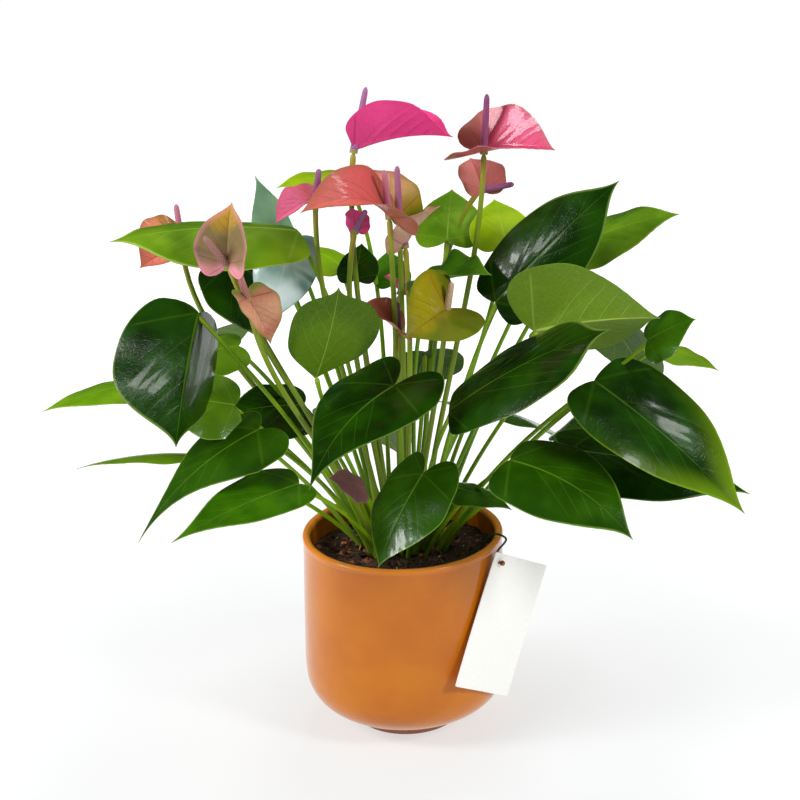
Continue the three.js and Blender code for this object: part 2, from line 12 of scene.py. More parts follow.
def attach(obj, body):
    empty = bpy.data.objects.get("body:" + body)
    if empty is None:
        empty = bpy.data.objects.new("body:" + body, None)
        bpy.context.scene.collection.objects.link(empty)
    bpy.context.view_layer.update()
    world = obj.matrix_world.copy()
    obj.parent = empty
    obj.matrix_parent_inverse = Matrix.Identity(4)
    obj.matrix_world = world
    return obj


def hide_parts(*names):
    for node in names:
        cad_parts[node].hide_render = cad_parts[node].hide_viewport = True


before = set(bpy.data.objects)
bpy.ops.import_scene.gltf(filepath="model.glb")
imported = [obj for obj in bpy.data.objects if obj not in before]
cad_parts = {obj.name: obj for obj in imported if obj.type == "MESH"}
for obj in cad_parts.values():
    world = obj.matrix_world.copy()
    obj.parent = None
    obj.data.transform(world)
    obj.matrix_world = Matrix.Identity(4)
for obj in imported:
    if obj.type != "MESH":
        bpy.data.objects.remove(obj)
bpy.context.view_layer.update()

LOG = logging.getLogger("potted_anthurium")

MM = 0.001
UP = np.array([0.0, 0.0, 1.0])
BODY = "root"
STEMS_SLOT = "stalk_green"
PEAT_SLOT = "peat"
Rgb = tuple[float, float, float]
Pixel = tuple[float, float, float]
Point = tuple[float, float, float]


# Small vector helpers


def unit(vector: np.ndarray) -> np.ndarray:
    """Return the vectors along the last axis, each divided by its own length."""
    return vector / np.linalg.norm(vector, axis=-1, keepdims=True)


def smooth(value: np.ndarray, low: float, high: float) -> np.ndarray:
    """Ease from 0 at low to 1 at high: 3 t squared minus 2 t cubed of the clamped share t."""
    share = np.clip((value - low) / (high - low), 0.0, 1.0)
    return share * share * (3.0 - 2.0 * share)


def linear(colour: Rgb) -> tuple[float, float, float, float]:
    """Undo a screen's response curve: a straight line near black, and a power above it.

    Args:
        colour: red, green and blue of 0 to 255, as a screen shows them.

    Returns:
        The linear colour, with full alpha.
    """
    share = np.array(colour) / 255.0
    low = share / 12.92
    high = ((share + 0.055) / 1.055) ** 2.4
    return (*np.where(share <= 0.04045, low, high).tolist(), 1.0)


def bezier(a: np.ndarray, b: np.ndarray, c: np.ndarray, d: np.ndarray, t: np.ndarray) -> np.ndarray:
    """Cubic curve: the four points weighed by the cubic Bernstein shares of t.

    Args:
        a, b, c, d: the start, its handle, the end's handle and the end.
        t: shares from 0 to 1, one row of the result for each.

    Returns:
        The points, one row for each share.
    """
    s = 1.0 - t[..., None]
    u = t[..., None]
    return s**3 * a + 3 * s * s * u * b + 3 * s * u * u * c + u**3 * d


def through(points: list, steps: int) -> np.ndarray:
    """Centripetal Catmull-Rom curve: knots stand apart by the square root of each chord.

    Args:
        points: the points to pass through, in order.
        steps: how many points each span gives.

    Returns:
        The curve's points, the last of the given points included.
    """
    p = np.array(points, float)
    p = np.vstack([2 * p[0] - p[1], p, 2 * p[-1] - p[-2]])
    knot = np.concatenate([[0.0], np.cumsum(np.linalg.norm(np.diff(p, axis=0), axis=1) ** 0.5)])
    share = np.linspace(0.0, 1.0, steps, endpoint=False)[None, :, None]
    k = [knot[i : len(knot) - 3 + i][:, None, None] for i in range(4)]
    q = [p[i : len(p) - 3 + i][:, None, :] for i in range(4)]
    t = k[1] + share * (k[2] - k[1])
    a = [((k[i + 1] - t) * q[i] + (t - k[i]) * q[i + 1]) / (k[i + 1] - k[i]) for i in range(3)]
    b = [((k[i + 2] - t) * a[i] + (t - k[i]) * a[i + 1]) / (k[i + 2] - k[i]) for i in range(2)]
    curve = ((k[2] - t) * b[0] + (t - k[1]) * b[1]) / (k[2] - k[1])
    return np.vstack([curve.reshape(-1, p.shape[1]), p[-2]])


# The photograph's camera


@dataclass(frozen=True)
class Sight:
    """Where the photograph's camera stood, in metres, and how it looked, in degrees and pixels."""

    place: Point = (0.001, -1.5, 0.798)
    pitch: float = 20.4
    roll: float = 1.7
    focal_pixels: float = 2319.0
    image_pixels: float = 800.0
    sensor_width: float = 36.0

    def axes(self) -> tuple[np.ndarray, np.ndarray, np.ndarray]:
        """Turn the level axes by the pitch about the right one, then by the roll about the forward one.

        Returns:
            The camera's right, up and forward directions.
        """
        pitch = math.radians(self.pitch)
        roll = math.radians(self.roll)
        level = np.array([1.0, 0.0, 0.0])
        upright = np.array([0.0, math.sin(pitch), math.cos(pitch)])
        right = level * math.cos(roll) - upright * math.sin(roll)
        upward = upright * math.cos(roll) + level * math.sin(roll)
        return right, upward, np.array([0.0, math.cos(pitch), -math.sin(pitch)])

    def point(self, pixel: Pixel) -> np.ndarray:
        """Point seen at a pixel, on the upright plane at a given depth.

        Args:
            pixel: the column, the row, and the depth y in millimetres.

        Returns:
            The point where the ray through that pixel meets the plane.
        """
        column, row, depth = pixel
        right, upward, forward = self.axes()
        middle = self.image_pixels / 2
        ray = right * (column - middle) + upward * (middle - row) + forward * self.focal_pixels
        start = np.array(self.place)
        return start + ray * (depth * MM - start[1]) / ray[1]

    def camera(self) -> None:
        """Make the scene's camera."""
        lens = bpy.data.cameras.new("photo_camera")
        lens.sensor_width = self.sensor_width
        lens.lens = self.focal_pixels / self.image_pixels * self.sensor_width
        camera = bpy.data.objects.new("photo_camera", lens)
        right, upward, forward = self.axes()
        turn = np.eye(4)
        turn[:3, 0], turn[:3, 1], turn[:3, 2], turn[:3, 3] = right, upward, -forward, self.place
        camera.matrix_world = Matrix(turn.tolist())
        bpy.context.scene.collection.objects.link(camera)
        bpy.context.scene.camera = camera


SIGHT = Sight()


# Meshes


class Piece:
    """Gathers closed surfaces, given as whole arrays, into one named mesh object."""

    def __init__(self, name: str) -> None:
        """Start an empty piece.

        Args:
            name: its name, and its mesh's.
        """
        self.name = name
        self.count = 0
        self.vertices: list[np.ndarray] = []
        self.faces: list[list[int]] = []
        self.paints: list[np.ndarray] = []
        self.places: list[np.ndarray] = []

    def add(self, vertices: np.ndarray, parts: list, place: np.ndarray | None = None) -> None:
        """Add one surface.

        Args:
            vertices: its points, one a row.
            parts: pairs of a face array, one face a row, and the number of the faces' material.
            place: three numbers for each point, which materials read as the attribute place.
        """
        self.vertices.append(vertices)
        for faces, paint in parts:
            self.faces.extend((faces + self.count).tolist())
            self.paints.append(np.full(len(faces), paint))
        self.places.append(np.zeros_like(vertices) if place is None else place)
        self.count += len(vertices)

    def build(self, materials: list, slot: str, nodes: list[str], sharp: float = 50.0) -> None:
        """Make the object at the origin, put it in the scene and tie it to the frame.

        Args:
            materials: the materials, in the order of the faces' numbers.
            slot: the record's material slot; not used.
            nodes: the nodes that it stands for.
            sharp: the angle in degrees above which an edge stays crisp.
        """
        mesh = bpy.data.meshes.new(self.name)
        mesh.from_pydata(np.vstack(self.vertices).tolist(), [], self.faces)
        mesh.polygons.foreach_set("material_index", np.concatenate(self.paints).astype(np.int32))
        mesh.polygons.foreach_set("use_smooth", np.ones(len(self.faces), bool))
        places = mesh.attributes.new("place", "FLOAT_VECTOR", "POINT")
        places.data.foreach_set("vector", np.vstack(self.places).astype(np.float32).ravel())
        mesh.set_sharp_from_angle(angle=math.radians(sharp))
        for material in materials:
            mesh.materials.append(material)
        mesh.update()
        piece = bpy.data.objects.new(self.name, mesh)
        bpy.context.scene.collection.objects.link(piece)
        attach(piece, BODY)
        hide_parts(*nodes)
        LOG.info("%s: %d faces, for %s", self.name, len(self.faces), ", ".join(nodes))


def solid(
    name: str,
    surface: tuple,
    material: bpy.types.Material,
    slot: str,
    node: str,
    place: np.ndarray | None = None,
    sharp: float = 50.0,
) -> None:
    """Make a piece of one surface in one material.

    Args:
        name: the piece's name.
        surface: its vertices, quads and triangles.
        material: its material.
        slot: the record's material slot.
        node: the node that it stands for.
        place: three numbers for each point, as Piece.add takes them.
        sharp: the angle in degrees above which an edge stays crisp.
    """
    vertices, quads, triangles = surface
    piece = Piece(name)
    piece.add(vertices, [(quads, 0), (triangles, 0)], place)
    piece.build([material], slot, [node], sharp)


def around(sides: int) -> np.ndarray:
    """Return the angles in radians of this many points spread evenly round a ring."""
    return np.linspace(0.0, 2 * np.pi, sides, endpoint=False)


def grid_quads(rows: int, columns: int) -> np.ndarray:
    """Join each point of a grid to the next in its row and in its column, round the ring.

    Args:
        rows: how many rings, numbered one after the other.
        columns: how many points a ring has. The last is joined to the first.

    Returns:
        The quads, one a row.
    """
    i, j = np.meshgrid(np.arange(rows - 1), np.arange(columns), indexing="ij")
    k = (j + 1) % columns
    corners = [i * columns + j, i * columns + k, (i + 1) * columns + k, (i + 1) * columns + j]
    return np.stack(corners, -1).reshape(-1, 4)


def capped(rings: np.ndarray, first: np.ndarray, last: np.ndarray) -> tuple:
    """Close stacks of rings with one pole at each end.

    Args:
        rings: points as (stack, row, column, 3), each ring turning left about its stack's travel.
        first, last: the pole of each stack's start and end, as (stack, 3).

    Returns:
        The vertices, the quads between the rings, and the triangles about the poles.
    """
    stacks, rows, columns = rings.shape[:3]
    body = rings.reshape(stacks, rows * columns, 3)
    vertices = np.concatenate([body, first[:, None], last[:, None]], 1)
    start = (np.arange(stacks) * vertices.shape[1])[:, None, None]
    here = np.arange(columns)
    onward = (here + 1) % columns
    low = np.stack([onward, here, np.full(columns, rows * columns)], -1)
    top = (rows - 1) * columns
    high = np.stack([here + top, onward + top, np.full(columns, rows * columns + 1)], -1)
    quads = (grid_quads(rows, columns)[None] + start).reshape(-1, 4)
    triangles = (np.vstack([low, high])[None] + start).reshape(-1, 3)
    return vertices.reshape(-1, 3), quads, triangles


def tubes(paths: np.ndarray, radii: np.ndarray, sides: int, across: np.ndarray) -> tuple:
    """Round tubes: at each path point, a ring in the plane square to the path's travel.

    Args:
        paths: points as (tube, row, 3).
        radii: the radius at each of them, as (tube, row).
        sides: how many points a ring has.
        across: for each tube a direction that its path never runs along, as (tube, 3).

    Returns:
        The vertices, quads and triangles of all the tubes.
    """
    travel = unit(np.gradient(paths, axis=1))
    second = unit(np.cross(travel, across[:, None, :]))
    first = np.cross(second, travel)
    turn = around(sides)
    ring = first[:, :, None] * np.cos(turn)[:, None] + second[:, :, None] * np.sin(turn)[:, None]
    rings = paths[:, :, None] + ring * radii[:, :, None, None]
    return capped(rings, paths[:, 0], paths[:, -1])


def revolve(profile: np.ndarray, sides: int) -> tuple:
    """Turn a profile of (radius, height) rows, from axis to axis, about the upright axis.

    Args:
        profile: the rows between the two poles, which lie on the axis at the ends' heights.
        sides: how many points a ring has.

    Returns:
        The vertices, quads and triangles.
    """
    turn = around(sides)
    x = profile[:, :1] * np.cos(turn)
    y = profile[:, :1] * np.sin(turn)
    z = np.repeat(profile[:, 1:], sides, axis=1)
    poles = np.array([[0.0, 0.0, profile[0, 1]], [0.0, 0.0, profile[-1, 1]]])
    return capped(np.stack([x, y, z], -1)[None], poles[:1], poles[1:])


# Shader maths


class Value:
    """A number in a material's node tree: Python's operators on it add Math nodes."""

    def __init__(self, recipe: "Recipe", socket: bpy.types.NodeSocket) -> None:
        """Wrap one output socket of the recipe's tree."""
        self.recipe = recipe
        self.socket = socket

    def _math(self, operation: str, *operands: object) -> "Value":
        """Add a Math node.

        Args:
            operation: the node's operation.
            operands: values or numbers, in the order of its sockets.

        Returns:
            The node's result.
        """
        inputs = dict(enumerate(operands))
        node = self.recipe.node("ShaderNodeMath", {"operation": operation}, inputs)
        return Value(self.recipe, node.outputs[0])

    def __add__(self, other: object) -> "Value":
        """Return self + other."""
        return self._math("ADD", self, other)

    __radd__ = __add__

    def __sub__(self, other: object) -> "Value":
        """Return self - other."""
        return self._math("SUBTRACT", self, other)

    def __rsub__(self, other: object) -> "Value":
        """Return other - self."""
        return self._math("SUBTRACT", other, self)

    def __mul__(self, other: object) -> "Value":
        """Return self * other."""
        return self._math("MULTIPLY", self, other)

    __rmul__ = __mul__

    def __abs__(self) -> "Value":
        """Return self without its sign."""
        return self._math("ABSOLUTE", self)

    def most(self, other: object) -> "Value":
        """Return the larger of self and other."""
        return self._math("MAXIMUM", self, other)

    def bearing(self, other: object) -> "Value":
        """Return the angle in radians whose tangent is self over other."""
        return self._math("ARCTAN2", self, other)

    def off_line(self, spacing: float) -> "Value":
        """Return the distance to the nearest multiple of the spacing."""
        return abs(self - self._math("SNAP", self + spacing / 2, spacing))

    def ease(self, low: object, high: object) -> "Value":
        """Take a smooth step: 3 t squared minus 2 t cubed of the clamped share t.

        Args:
            low: where the step leaves 0.
            high: where it reaches 1.

        Returns:
            The step's height, from 0 to 1.
        """
        settings = {"interpolation_type": "SMOOTHSTEP"}
        inputs = {"Value": self, "From Min": low, "From Max": high}
        node = self.recipe.node("ShaderNodeMapRange", settings, inputs)
        return Value(self.recipe, node.outputs["Result"])


class Nodes:
    """A node tree under construction, with one method that adds any node to it."""

    def __init__(self, tree: bpy.types.NodeTree) -> None:
        """Empty this tree and take it over."""
        self.tree = tree
        self.tree.nodes.clear()

    def node(self, kind: str, settings: dict | None = None, inputs: dict | None = None) -> bpy.types.Node:
        """Add one node.

        Args:
            kind: the node's type name.
            settings: its own properties, set before its sockets.
            inputs: socket names or numbers, with the values or links that they take.

        Returns:
            The new node.
        """
        node = self.tree.nodes.new(kind)
        for name, setting in (settings or {}).items():
            setattr(node, name, setting)
        for name, given in (inputs or {}).items():
            source = given.socket if isinstance(given, Value) else given
            if isinstance(source, bpy.types.NodeSocket):
                self.tree.links.new(source, node.inputs[name])
            else:
                node.inputs[name].default_value = source
        return node


@dataclass(frozen=True)
class Gloss:
    """How a face shines: its own sheen, and a clear coat's share, roughness and refraction."""

    painted_sheen: float
    coat: float
    roughness: float
    refraction: float = 1.5

    def sockets(self) -> dict[str, float]:
        """Return the surface shader's sockets that it sets, spelt with _ for a space."""
        names = ("Specular_IOR_Level", "Coat_Weight", "Coat_Roughness", "Coat_IOR")
        return dict(zip(names, (self.painted_sheen, self.coat, self.roughness, self.refraction)))


class Recipe(Nodes):
    """A material under construction."""

    def __init__(self, name: str) -> None:
        """Start a material with an empty node tree.

        Args:
            name: the material's name.
        """
        self.material = bpy.data.materials.new(name)
        self.material.use_nodes = True
        super().__init__(self.material.node_tree)

    def place(self) -> tuple[Value, Value, Value]:
        """Read the mesh's attribute place.

        Returns:
            Its three numbers.
        """
        read = self.node("ShaderNodeAttribute", {"attribute_name": "place"})
        parts = self.node("ShaderNodeSeparateXYZ", None, {0: read.outputs["Vector"]})
        return tuple(Value(self, parts.outputs[i]) for i in range(3))

    def spot(self, stretch: Point = (1.0, 1.0, 1.0)) -> bpy.types.NodeSocket:
        """Read the point's place on the object.

        Args:
            stretch: what each of its coordinates is multiplied by.

        Returns:
            The place, in metres where nothing is stretched.
        """
        read = self.node("ShaderNodeTexCoord")
        mapped = self.node("ShaderNodeMapping", None, {0: read.outputs["Object"], "Scale": stretch})
        return mapped.outputs[0]

    def noise(self, scale: float, detail: float = 3.0, where: object = None) -> Value:
        """Return a cloudy noise of 0 to 1 with this many features a metre."""
        inputs = {"Vector": where or self.spot(), "Scale": scale, "Detail": detail}
        return Value(self, self.node("ShaderNodeTexNoise", None, inputs).outputs[0])

    def layers(self, clouds: tuple[Point, ...]) -> Value:
        """Return the sum of cloudy noises, each given as its scale, its detail and its share."""
        parts = [self.noise(scale, detail) * share for scale, detail, share in clouds]
        return sum(parts[1:], parts[0])

    def cells(self, scale: float) -> Value:
        """Return the distance from the middle of the nearest cell, for this many cells a metre."""
        inputs = {"Vector": self.spot(), "Scale": scale}
        return Value(self, self.node("ShaderNodeTexVoronoi", None, inputs).outputs["Distance"])

    def net(self, scale: float, width: float) -> Value:
        """Draw an irregular net, by the distance to the nearest border between cells.

        Args:
            scale: how many meshes there are to a metre.
            width: the lines' half width, as a share of a mesh.

        Returns:
            1 on the lines and 0 off them.
        """
        inputs = {"Vector": self.spot(), "Scale": scale}
        node = self.node("ShaderNodeTexVoronoi", {"feature": "DISTANCE_TO_EDGE"}, inputs)
        return 1.0 - Value(self, node.outputs["Distance"]).ease(0.0, width)

    def mix(self, low: object, high: object, share: object) -> bpy.types.NodeSocket:
        """Blend two colours.

        Args:
            low, high: the colours at a share of 0 and of 1, each a link or a colour of 0 to 255.
            share: how much of the second there is.

        Returns:
            The blend.
        """
        low, high = (linear(given) if isinstance(given, tuple) else given for given in (low, high))
        inputs = {0: share, 6: low, 7: high}
        return self.node("ShaderNodeMix", {"data_type": "RGBA"}, inputs).outputs[2]

    def bump(self, height: Value, depth: float, strength: float) -> bpy.types.NodeSocket:
        """Return the normal of a surface raised by the height times the depth in mm."""
        inputs = {"Height": height, "Distance": depth * MM, "Strength": strength}
        return self.node("ShaderNodeBump", None, inputs).outputs[0]

    def close(self, **inputs: object) -> bpy.types.Material:
        """Add the surface shader.

        Args:
            inputs: what its sockets take, each name spelt with _ for a space.

        Returns:
            The finished material.
        """
        named = {name.replace("_", " "): given for name, given in inputs.items()}
        shader = self.node("ShaderNodeBsdfPrincipled", None, named)
        self.node("ShaderNodeOutputMaterial", None, {"Surface": shader.outputs[0]})
        return self.material


# Finishes of leaves, blooms and stalks


@dataclass(frozen=True)
class VeinPattern:
    """How veins run over a blade, in shares of its half width and its length.

    Side veins stand spacing apart, lean by slope and curve by sweep. In the lobes they fan out from
    the heart, lobe_step radians apart. They start middle away from the midrib and fade out by the
    margin. heart is how softly the veins in front of the heart give way to those behind it.
    """

    spacing: float = 0.17
    slope: float = 0.5
    sweep: float = 0.26
    lobe_step: float = 0.47
    midrib_core: float = 0.004
    midrib_width: float = 0.03
    midrib_taper: float = 1.15
    side_width: float = 0.011
    fan_width: float = 0.0176
    heart: float = 0.02
    middle: float = 0.05
    fade: tuple[float, float] = (0.82, 0.98)

    def lines(self, across: object, along: object) -> object:
        """Side vein number times the spacing: along, less the slope and sweep of the reach across."""
        return along - across * self.slope - across * across * self.sweep

    def mask(self, recipe: Recipe) -> tuple[Value, Value]:
        """Make the vein masks of a blade's material.

        A side vein is where its line number is a multiple of the spacing, and a lobe's vein where
        the bearing from the heart is a multiple of the lobe step.

        Args:
            recipe: the material that they belong to.

        Returns:
            The midrib's mask and the side veins' mask, 1 on a vein and 0 off it.
        """
        side, along, reach = recipe.place()
        across = abs(side)
        width = self.midrib_width * (self.midrib_taper - along)
        midrib = (1.0 - across.ease(self.midrib_core, width)) * along.ease(-self.heart, self.heart)
        lines = self.lines(across, along)
        laterals = 1.0 - lines.off_line(self.spacing).ease(0.0, self.side_width)
        turn = across.bearing(along)
        fans = 1.0 - (turn.off_line(self.lobe_step) * reach).ease(0.0, self.fan_width)
        ahead = lines.ease(0.0, self.heart)
        veins = (laterals * ahead).most(fans * (1.0 - ahead)) * (1.0 - reach.ease(*self.fade))
        return midrib, veins * across.ease(0.0, self.middle)


VEINS = VeinPattern()


@dataclass(frozen=True)
class LeafFinish:
    """Colours of 0 to 255 and gloss of one tone of leaf.

    face and deep cloud into each other, and vein, under and edge are the colours of the veins, the
    underside and the margin. rim is the share of the margin's colour that spreads inwards, a paler
    margin zone that is partly the leaf's own and partly painted sheen. swells are the clouds that
    raise the upper face, each with its scale, detail and share.
    """

    slot: str
    face: Rgb
    deep: Rgb
    vein: Rgb
    under: Rgb
    edge: Rgb
    roughness: float = 0.22
    rim: float = 0.0
    midrib_share: float = 0.45
    vein_share: float = 0.135
    edge_share: float = 0.55
    swells: tuple[Point, ...] = ((30.0, 2.0, 8.0), (150.0, 3.0, 1.8), (420.0, 2.0, 0.3))
    net_scale: float = 240.0
    upper_relief: float = 0.22
    lower_relief: float = 0.28
    gloss: Gloss = Gloss(0.2, 0.5, 0.08, 1.35)

    def upper(self) -> bpy.types.Material:
        """Make the upper face: two clouded greens, pale veins, a pale margin and a waxy gloss.

        Returns:
            The material, raised by pores and swells and sunk along the veins.
        """
        recipe = Recipe(self.slot + "_upper")
        midrib, veins = VEINS.mask(recipe)
        _, along, reach = recipe.place()
        cloud = recipe.noise(38.0, 2.0).ease(0.3, 0.72)
        colour = recipe.mix(self.deep, self.face, cloud)
        colour = recipe.mix(colour, self.vein, veins * self.vein_share)
        colour = recipe.mix(colour, self.vein, midrib * self.midrib_share * (1.25 - along))
        # The margin's colour spread inwards: partly the leaf's own paler margin, partly painted sheen.
        if self.rim:
            spread = reach.ease(0.7, 1.0) * along.ease(0.1, 1.0)
            colour = recipe.mix(colour, self.edge, spread * self.rim)
        colour = recipe.mix(colour, self.edge, reach.ease(0.97, 0.995) * self.edge_share)
        grain = recipe.noise(900.0, 2.0)
        pores = recipe.cells(1500.0) * 0.15
        creases = (veins + midrib) * 0.4
        meshes = recipe.net(self.net_scale, 0.12) * 0.25
        height = pores + recipe.layers(self.swells) - creases - meshes
        return recipe.close(
            Base_Color=colour,
            Roughness=self.roughness + cloud * 0.05 + grain * 0.06,
            Normal=recipe.bump(height, self.upper_relief, 0.6),
            **self.gloss.sockets(),
        )

    def lower(self) -> bpy.types.Material:
        """Make the underside: paler and matter, darker towards the middle.

        Returns:
            The material, on which the veins and their net stand out.
        """
        recipe = Recipe(self.slot + "_lower")
        midrib, veins = VEINS.mask(recipe)
        _, _, reach = recipe.place()
        cloud = recipe.noise(45.0, 3.0)
        inner = 1.0 - reach.ease(0.6, 0.9)
        net = recipe.net(self.net_scale, 0.1)
        colour = recipe.mix(self.under, self.face, cloud * 0.2 + inner * 0.35)
        lines = (veins * 0.3).most(midrib * 0.8).most(net * 0.1)
        colour = recipe.mix(colour, self.edge, lines)
        height = recipe.cells(1300.0) * 0.4 + (veins + midrib) * 1.2 + net * 0.5
        return recipe.close(
            Base_Color=colour,
            Roughness=0.5 + recipe.noise(600.0, 2.0) * 0.14,
            Specular_IOR_Level=0.15,
            Normal=recipe.bump(height, self.lower_relief, 0.6),
        )


class Tone(Enum):
    """Tones that the plant's leaves come in: face, deep, vein, under, edge and roughness.

    Some hold painted light: a pale teal tone paints sheen and backlit glow, a bluish-white one paints a glare
    of reflected light, the rimmed dark tone's paler margin zone is partly painted sheen, and the shaded
    tone's darker underside is painted shade.
    """

    DARK = LeafFinish(
        "leaf_dark", (26, 66, 2), (11, 38, 1), (100, 142, 34), (74, 108, 34), (130, 160, 70), 0.17
    )
    # Dark leaf whose paler margin zone is partly its own colour and partly painted sheen.
    RIM_AND_SHEEN = LeafFinish(
        "leaf_dark", (30, 72, 4), (14, 42, 2), (96, 136, 40), (78, 112, 34), (124, 160, 20), 0.17, 0.6
    )
    # Painted light, not a leaf colour: a pale teal green that paints a bright sheen and a backlit glow on a
    # dark leaf.
    PAINTED_SHEEN = LeafFinish(
        "leaf_dark", (156, 200, 160), (110, 164, 124), (180, 214, 170), (90, 130, 80), (170, 200, 150), 0.3
    )
    # Painted light, not a leaf colour: a bluish white that paints the glare of reflected light on a dark
    # leaf; only its edge is the leaf's own dark green.
    PAINTED_GLARE = LeafFinish(
        "leaf_dark", (214, 228, 232), (120, 158, 150), (226, 238, 226), (90, 130, 80), (60, 110, 70), 0.2
    )
    FULL = LeafFinish(
        "leaf_mid", (44, 86, 3), (28, 64, 1), (116, 156, 40), (84, 118, 34), (130, 164, 60), 0.2
    )
    MID = LeafFinish(
        "leaf_mid", (62, 112, 4), (40, 84, 2), (132, 172, 44), (92, 126, 36), (140, 172, 70)
    )
    FRESH = LeafFinish(
        "leaf_mid", (100, 140, 20), (74, 116, 10), (150, 184, 60), (110, 142, 44), (160, 186, 80)
    )
    PALE = LeafFinish(
        "leaf_mid", (122, 166, 8), (92, 140, 2), (176, 204, 100), (140, 170, 70), (180, 206, 110), 0.3
    )
    LIGHT = LeafFinish(
        "leaf_light", (112, 150, 12), (84, 126, 6), (176, 200, 80), (106, 138, 40), (186, 206, 100), 0.28
    )
    SHADED = LeafFinish(
        "leaf_light", (104, 142, 10), (78, 120, 6), (170, 196, 80), (62, 92, 14), (140, 168, 60), 0.3
    )
    YOUNG = LeafFinish(
        "leaf_young", (148, 180, 0), (114, 156, 0), (190, 210, 50), (156, 188, 24), (200, 218, 80), 0.3
    )
    BRONZE = LeafFinish(
        "leaf_bronze", (112, 70, 72), (84, 54, 54), (150, 110, 96), (130, 90, 92), (160, 120, 108), 0.34
    )


@dataclass(frozen=True)
class SpatheFinish:
    """Colours of 0 to 255 of one bloom.

    The spathe passes from lobes by heart and body to tip, and back is its back's colour. A bloom
    with the colour far has it on its left half. The spadix passes from spike to spike_tip.
    """

    slot: str
    heart: Rgb
    body: Rgb
    tip: Rgb
    lobes: Rgb
    back: Rgb
    spike: Rgb
    spike_tip: Rgb
    vein: Rgb = (150, 70, 76)
    vein_share: float = 0.7
    net_share: float = 0.22
    edge_share: float = 0.45
    stalk: Rgb = (148, 146, 48)
    far: Rgb | None = None
    relief: float = 0.22
    front_gloss: Gloss = Gloss(0.25, 0.36, 0.08, 1.4)
    back_gloss: Gloss = Gloss(0.25, 0.12, 0.08, 1.4)

    def face(self, name: str, backwards: bool) -> bpy.types.Material:
        """Make one face of the spathe.

        Args:
            name: the material's name.
            backwards: whether it is the back, which is duller and takes the back's colour.

        Returns:
            The material: colours that pass from lobes to heart to tip, blotched and veined.
        """
        recipe = Recipe(name)
        midrib, veins = VEINS.mask(recipe)
        side, along, reach = recipe.place()
        cloud = recipe.noise(70.0, 3.0).ease(0.35, 0.68)
        colour = recipe.mix(self.heart, self.body, along.ease(0.02, 0.4))
        colour = recipe.mix(colour, self.tip, (along + cloud * 0.3).ease(0.6, 1.1))
        colour = recipe.mix(self.lobes, colour, (along + cloud * 0.06).ease(-0.1, 0.1))
        if self.far:
            colour = recipe.mix(colour, self.far, (cloud * 0.2 - side).ease(0.0, 0.5))
        if backwards:
            colour = recipe.mix(colour, self.back, 0.75)
        colour = recipe.mix(colour, self.back, cloud * 0.25)
        lines = veins.most(midrib).most(recipe.net(260.0, 0.1) * self.net_share)
        colour = recipe.mix(colour, self.vein, lines * self.vein_share)
        colour = recipe.mix(colour, self.lobes, reach.ease(0.84, 1.0) * self.edge_share)
        height = recipe.noise(120.0, 3.0) * 4.0 + recipe.cells(1100.0) * 0.3 - lines * 0.6
        return recipe.close(
            Base_Color=colour,
            Roughness=0.34 + cloud * 0.1,
            Normal=recipe.bump(height, self.relief, 0.55),
            **(self.back_gloss if backwards else self.front_gloss).sockets(),
        )

    def spadix(self, name: str) -> bpy.types.Material:
        """Make the spike's material.

        Args:
            name: the material's name.

        Returns:
            The material: a colour that passes to the tip's, paler on each floret's crest, and the
            stalk's colour at the root.
        """
        recipe = Recipe(name)
        crest, along, above = recipe.place()
        colour = recipe.mix(self.spike, self.spike_tip, along.ease(0.3, 1.0))
        pale = tuple(min(255.0, c * 1.35 + 18.0) for c in self.spike_tip)
        colour = recipe.mix(colour, pale, crest.ease(0.5, 1.0) * 0.4)
        colour = recipe.mix(self.stalk, colour, above.ease(-0.2, 0.6))
        return recipe.close(
            Base_Color=colour,
            Roughness=0.62 - crest * 0.12,
            Normal=recipe.bump(recipe.noise(1500.0, 2.0), 0.1, 0.5),
        )


@dataclass(frozen=True)
class StalkFinish:
    """Colours of 0 to 255 of the stalks, from the soil to their tops."""

    name: str
    foot: Rgb = (140, 160, 50)
    middle: Rgb = (136, 176, 10)
    deep: Rgb = (80, 124, 0)
    top: Rgb = (164, 190, 48)
    streak: Point = (8.0, 8.0, 0.6)
    gloss: Gloss = Gloss(0.2, 0.12, 0.25)

    def material(self) -> bpy.types.Material:
        """Make the material of a bundle of stalks.

        Returns:
            The material: pale at the foot, each stalk its own shade, finely streaked lengthwise.
        """
        recipe = Recipe(self.name)
        along, shade, _ = recipe.place()
        streaks = recipe.noise(60.0, 3.0, recipe.spot(self.streak))
        colour = recipe.mix(self.foot, self.middle, along.ease(0.02, 0.3))
        colour = recipe.mix(colour, self.deep, shade * (0.55 + streaks * 0.6))
        colour = recipe.mix(colour, self.top, along.ease(0.86, 1.0) * 0.7)
        return recipe.close(
            Base_Color=colour,
            Roughness=0.36 + streaks * 0.14,
            Normal=recipe.bump(streaks, 0.2, 0.6),
            **self.gloss.sockets(),
        )


# Blades: leaves and spathes are one formula


MIDRIB_STEPS = 24
MARGIN_WAVES = 2.3
TIP_STEPS = 24
SIDE_STEPS = 13
SINUS_SHARES = [0.0, 0.2, 0.4, 0.58, 0.74, 0.88]
NEXT_TO_NONE = 1e-6


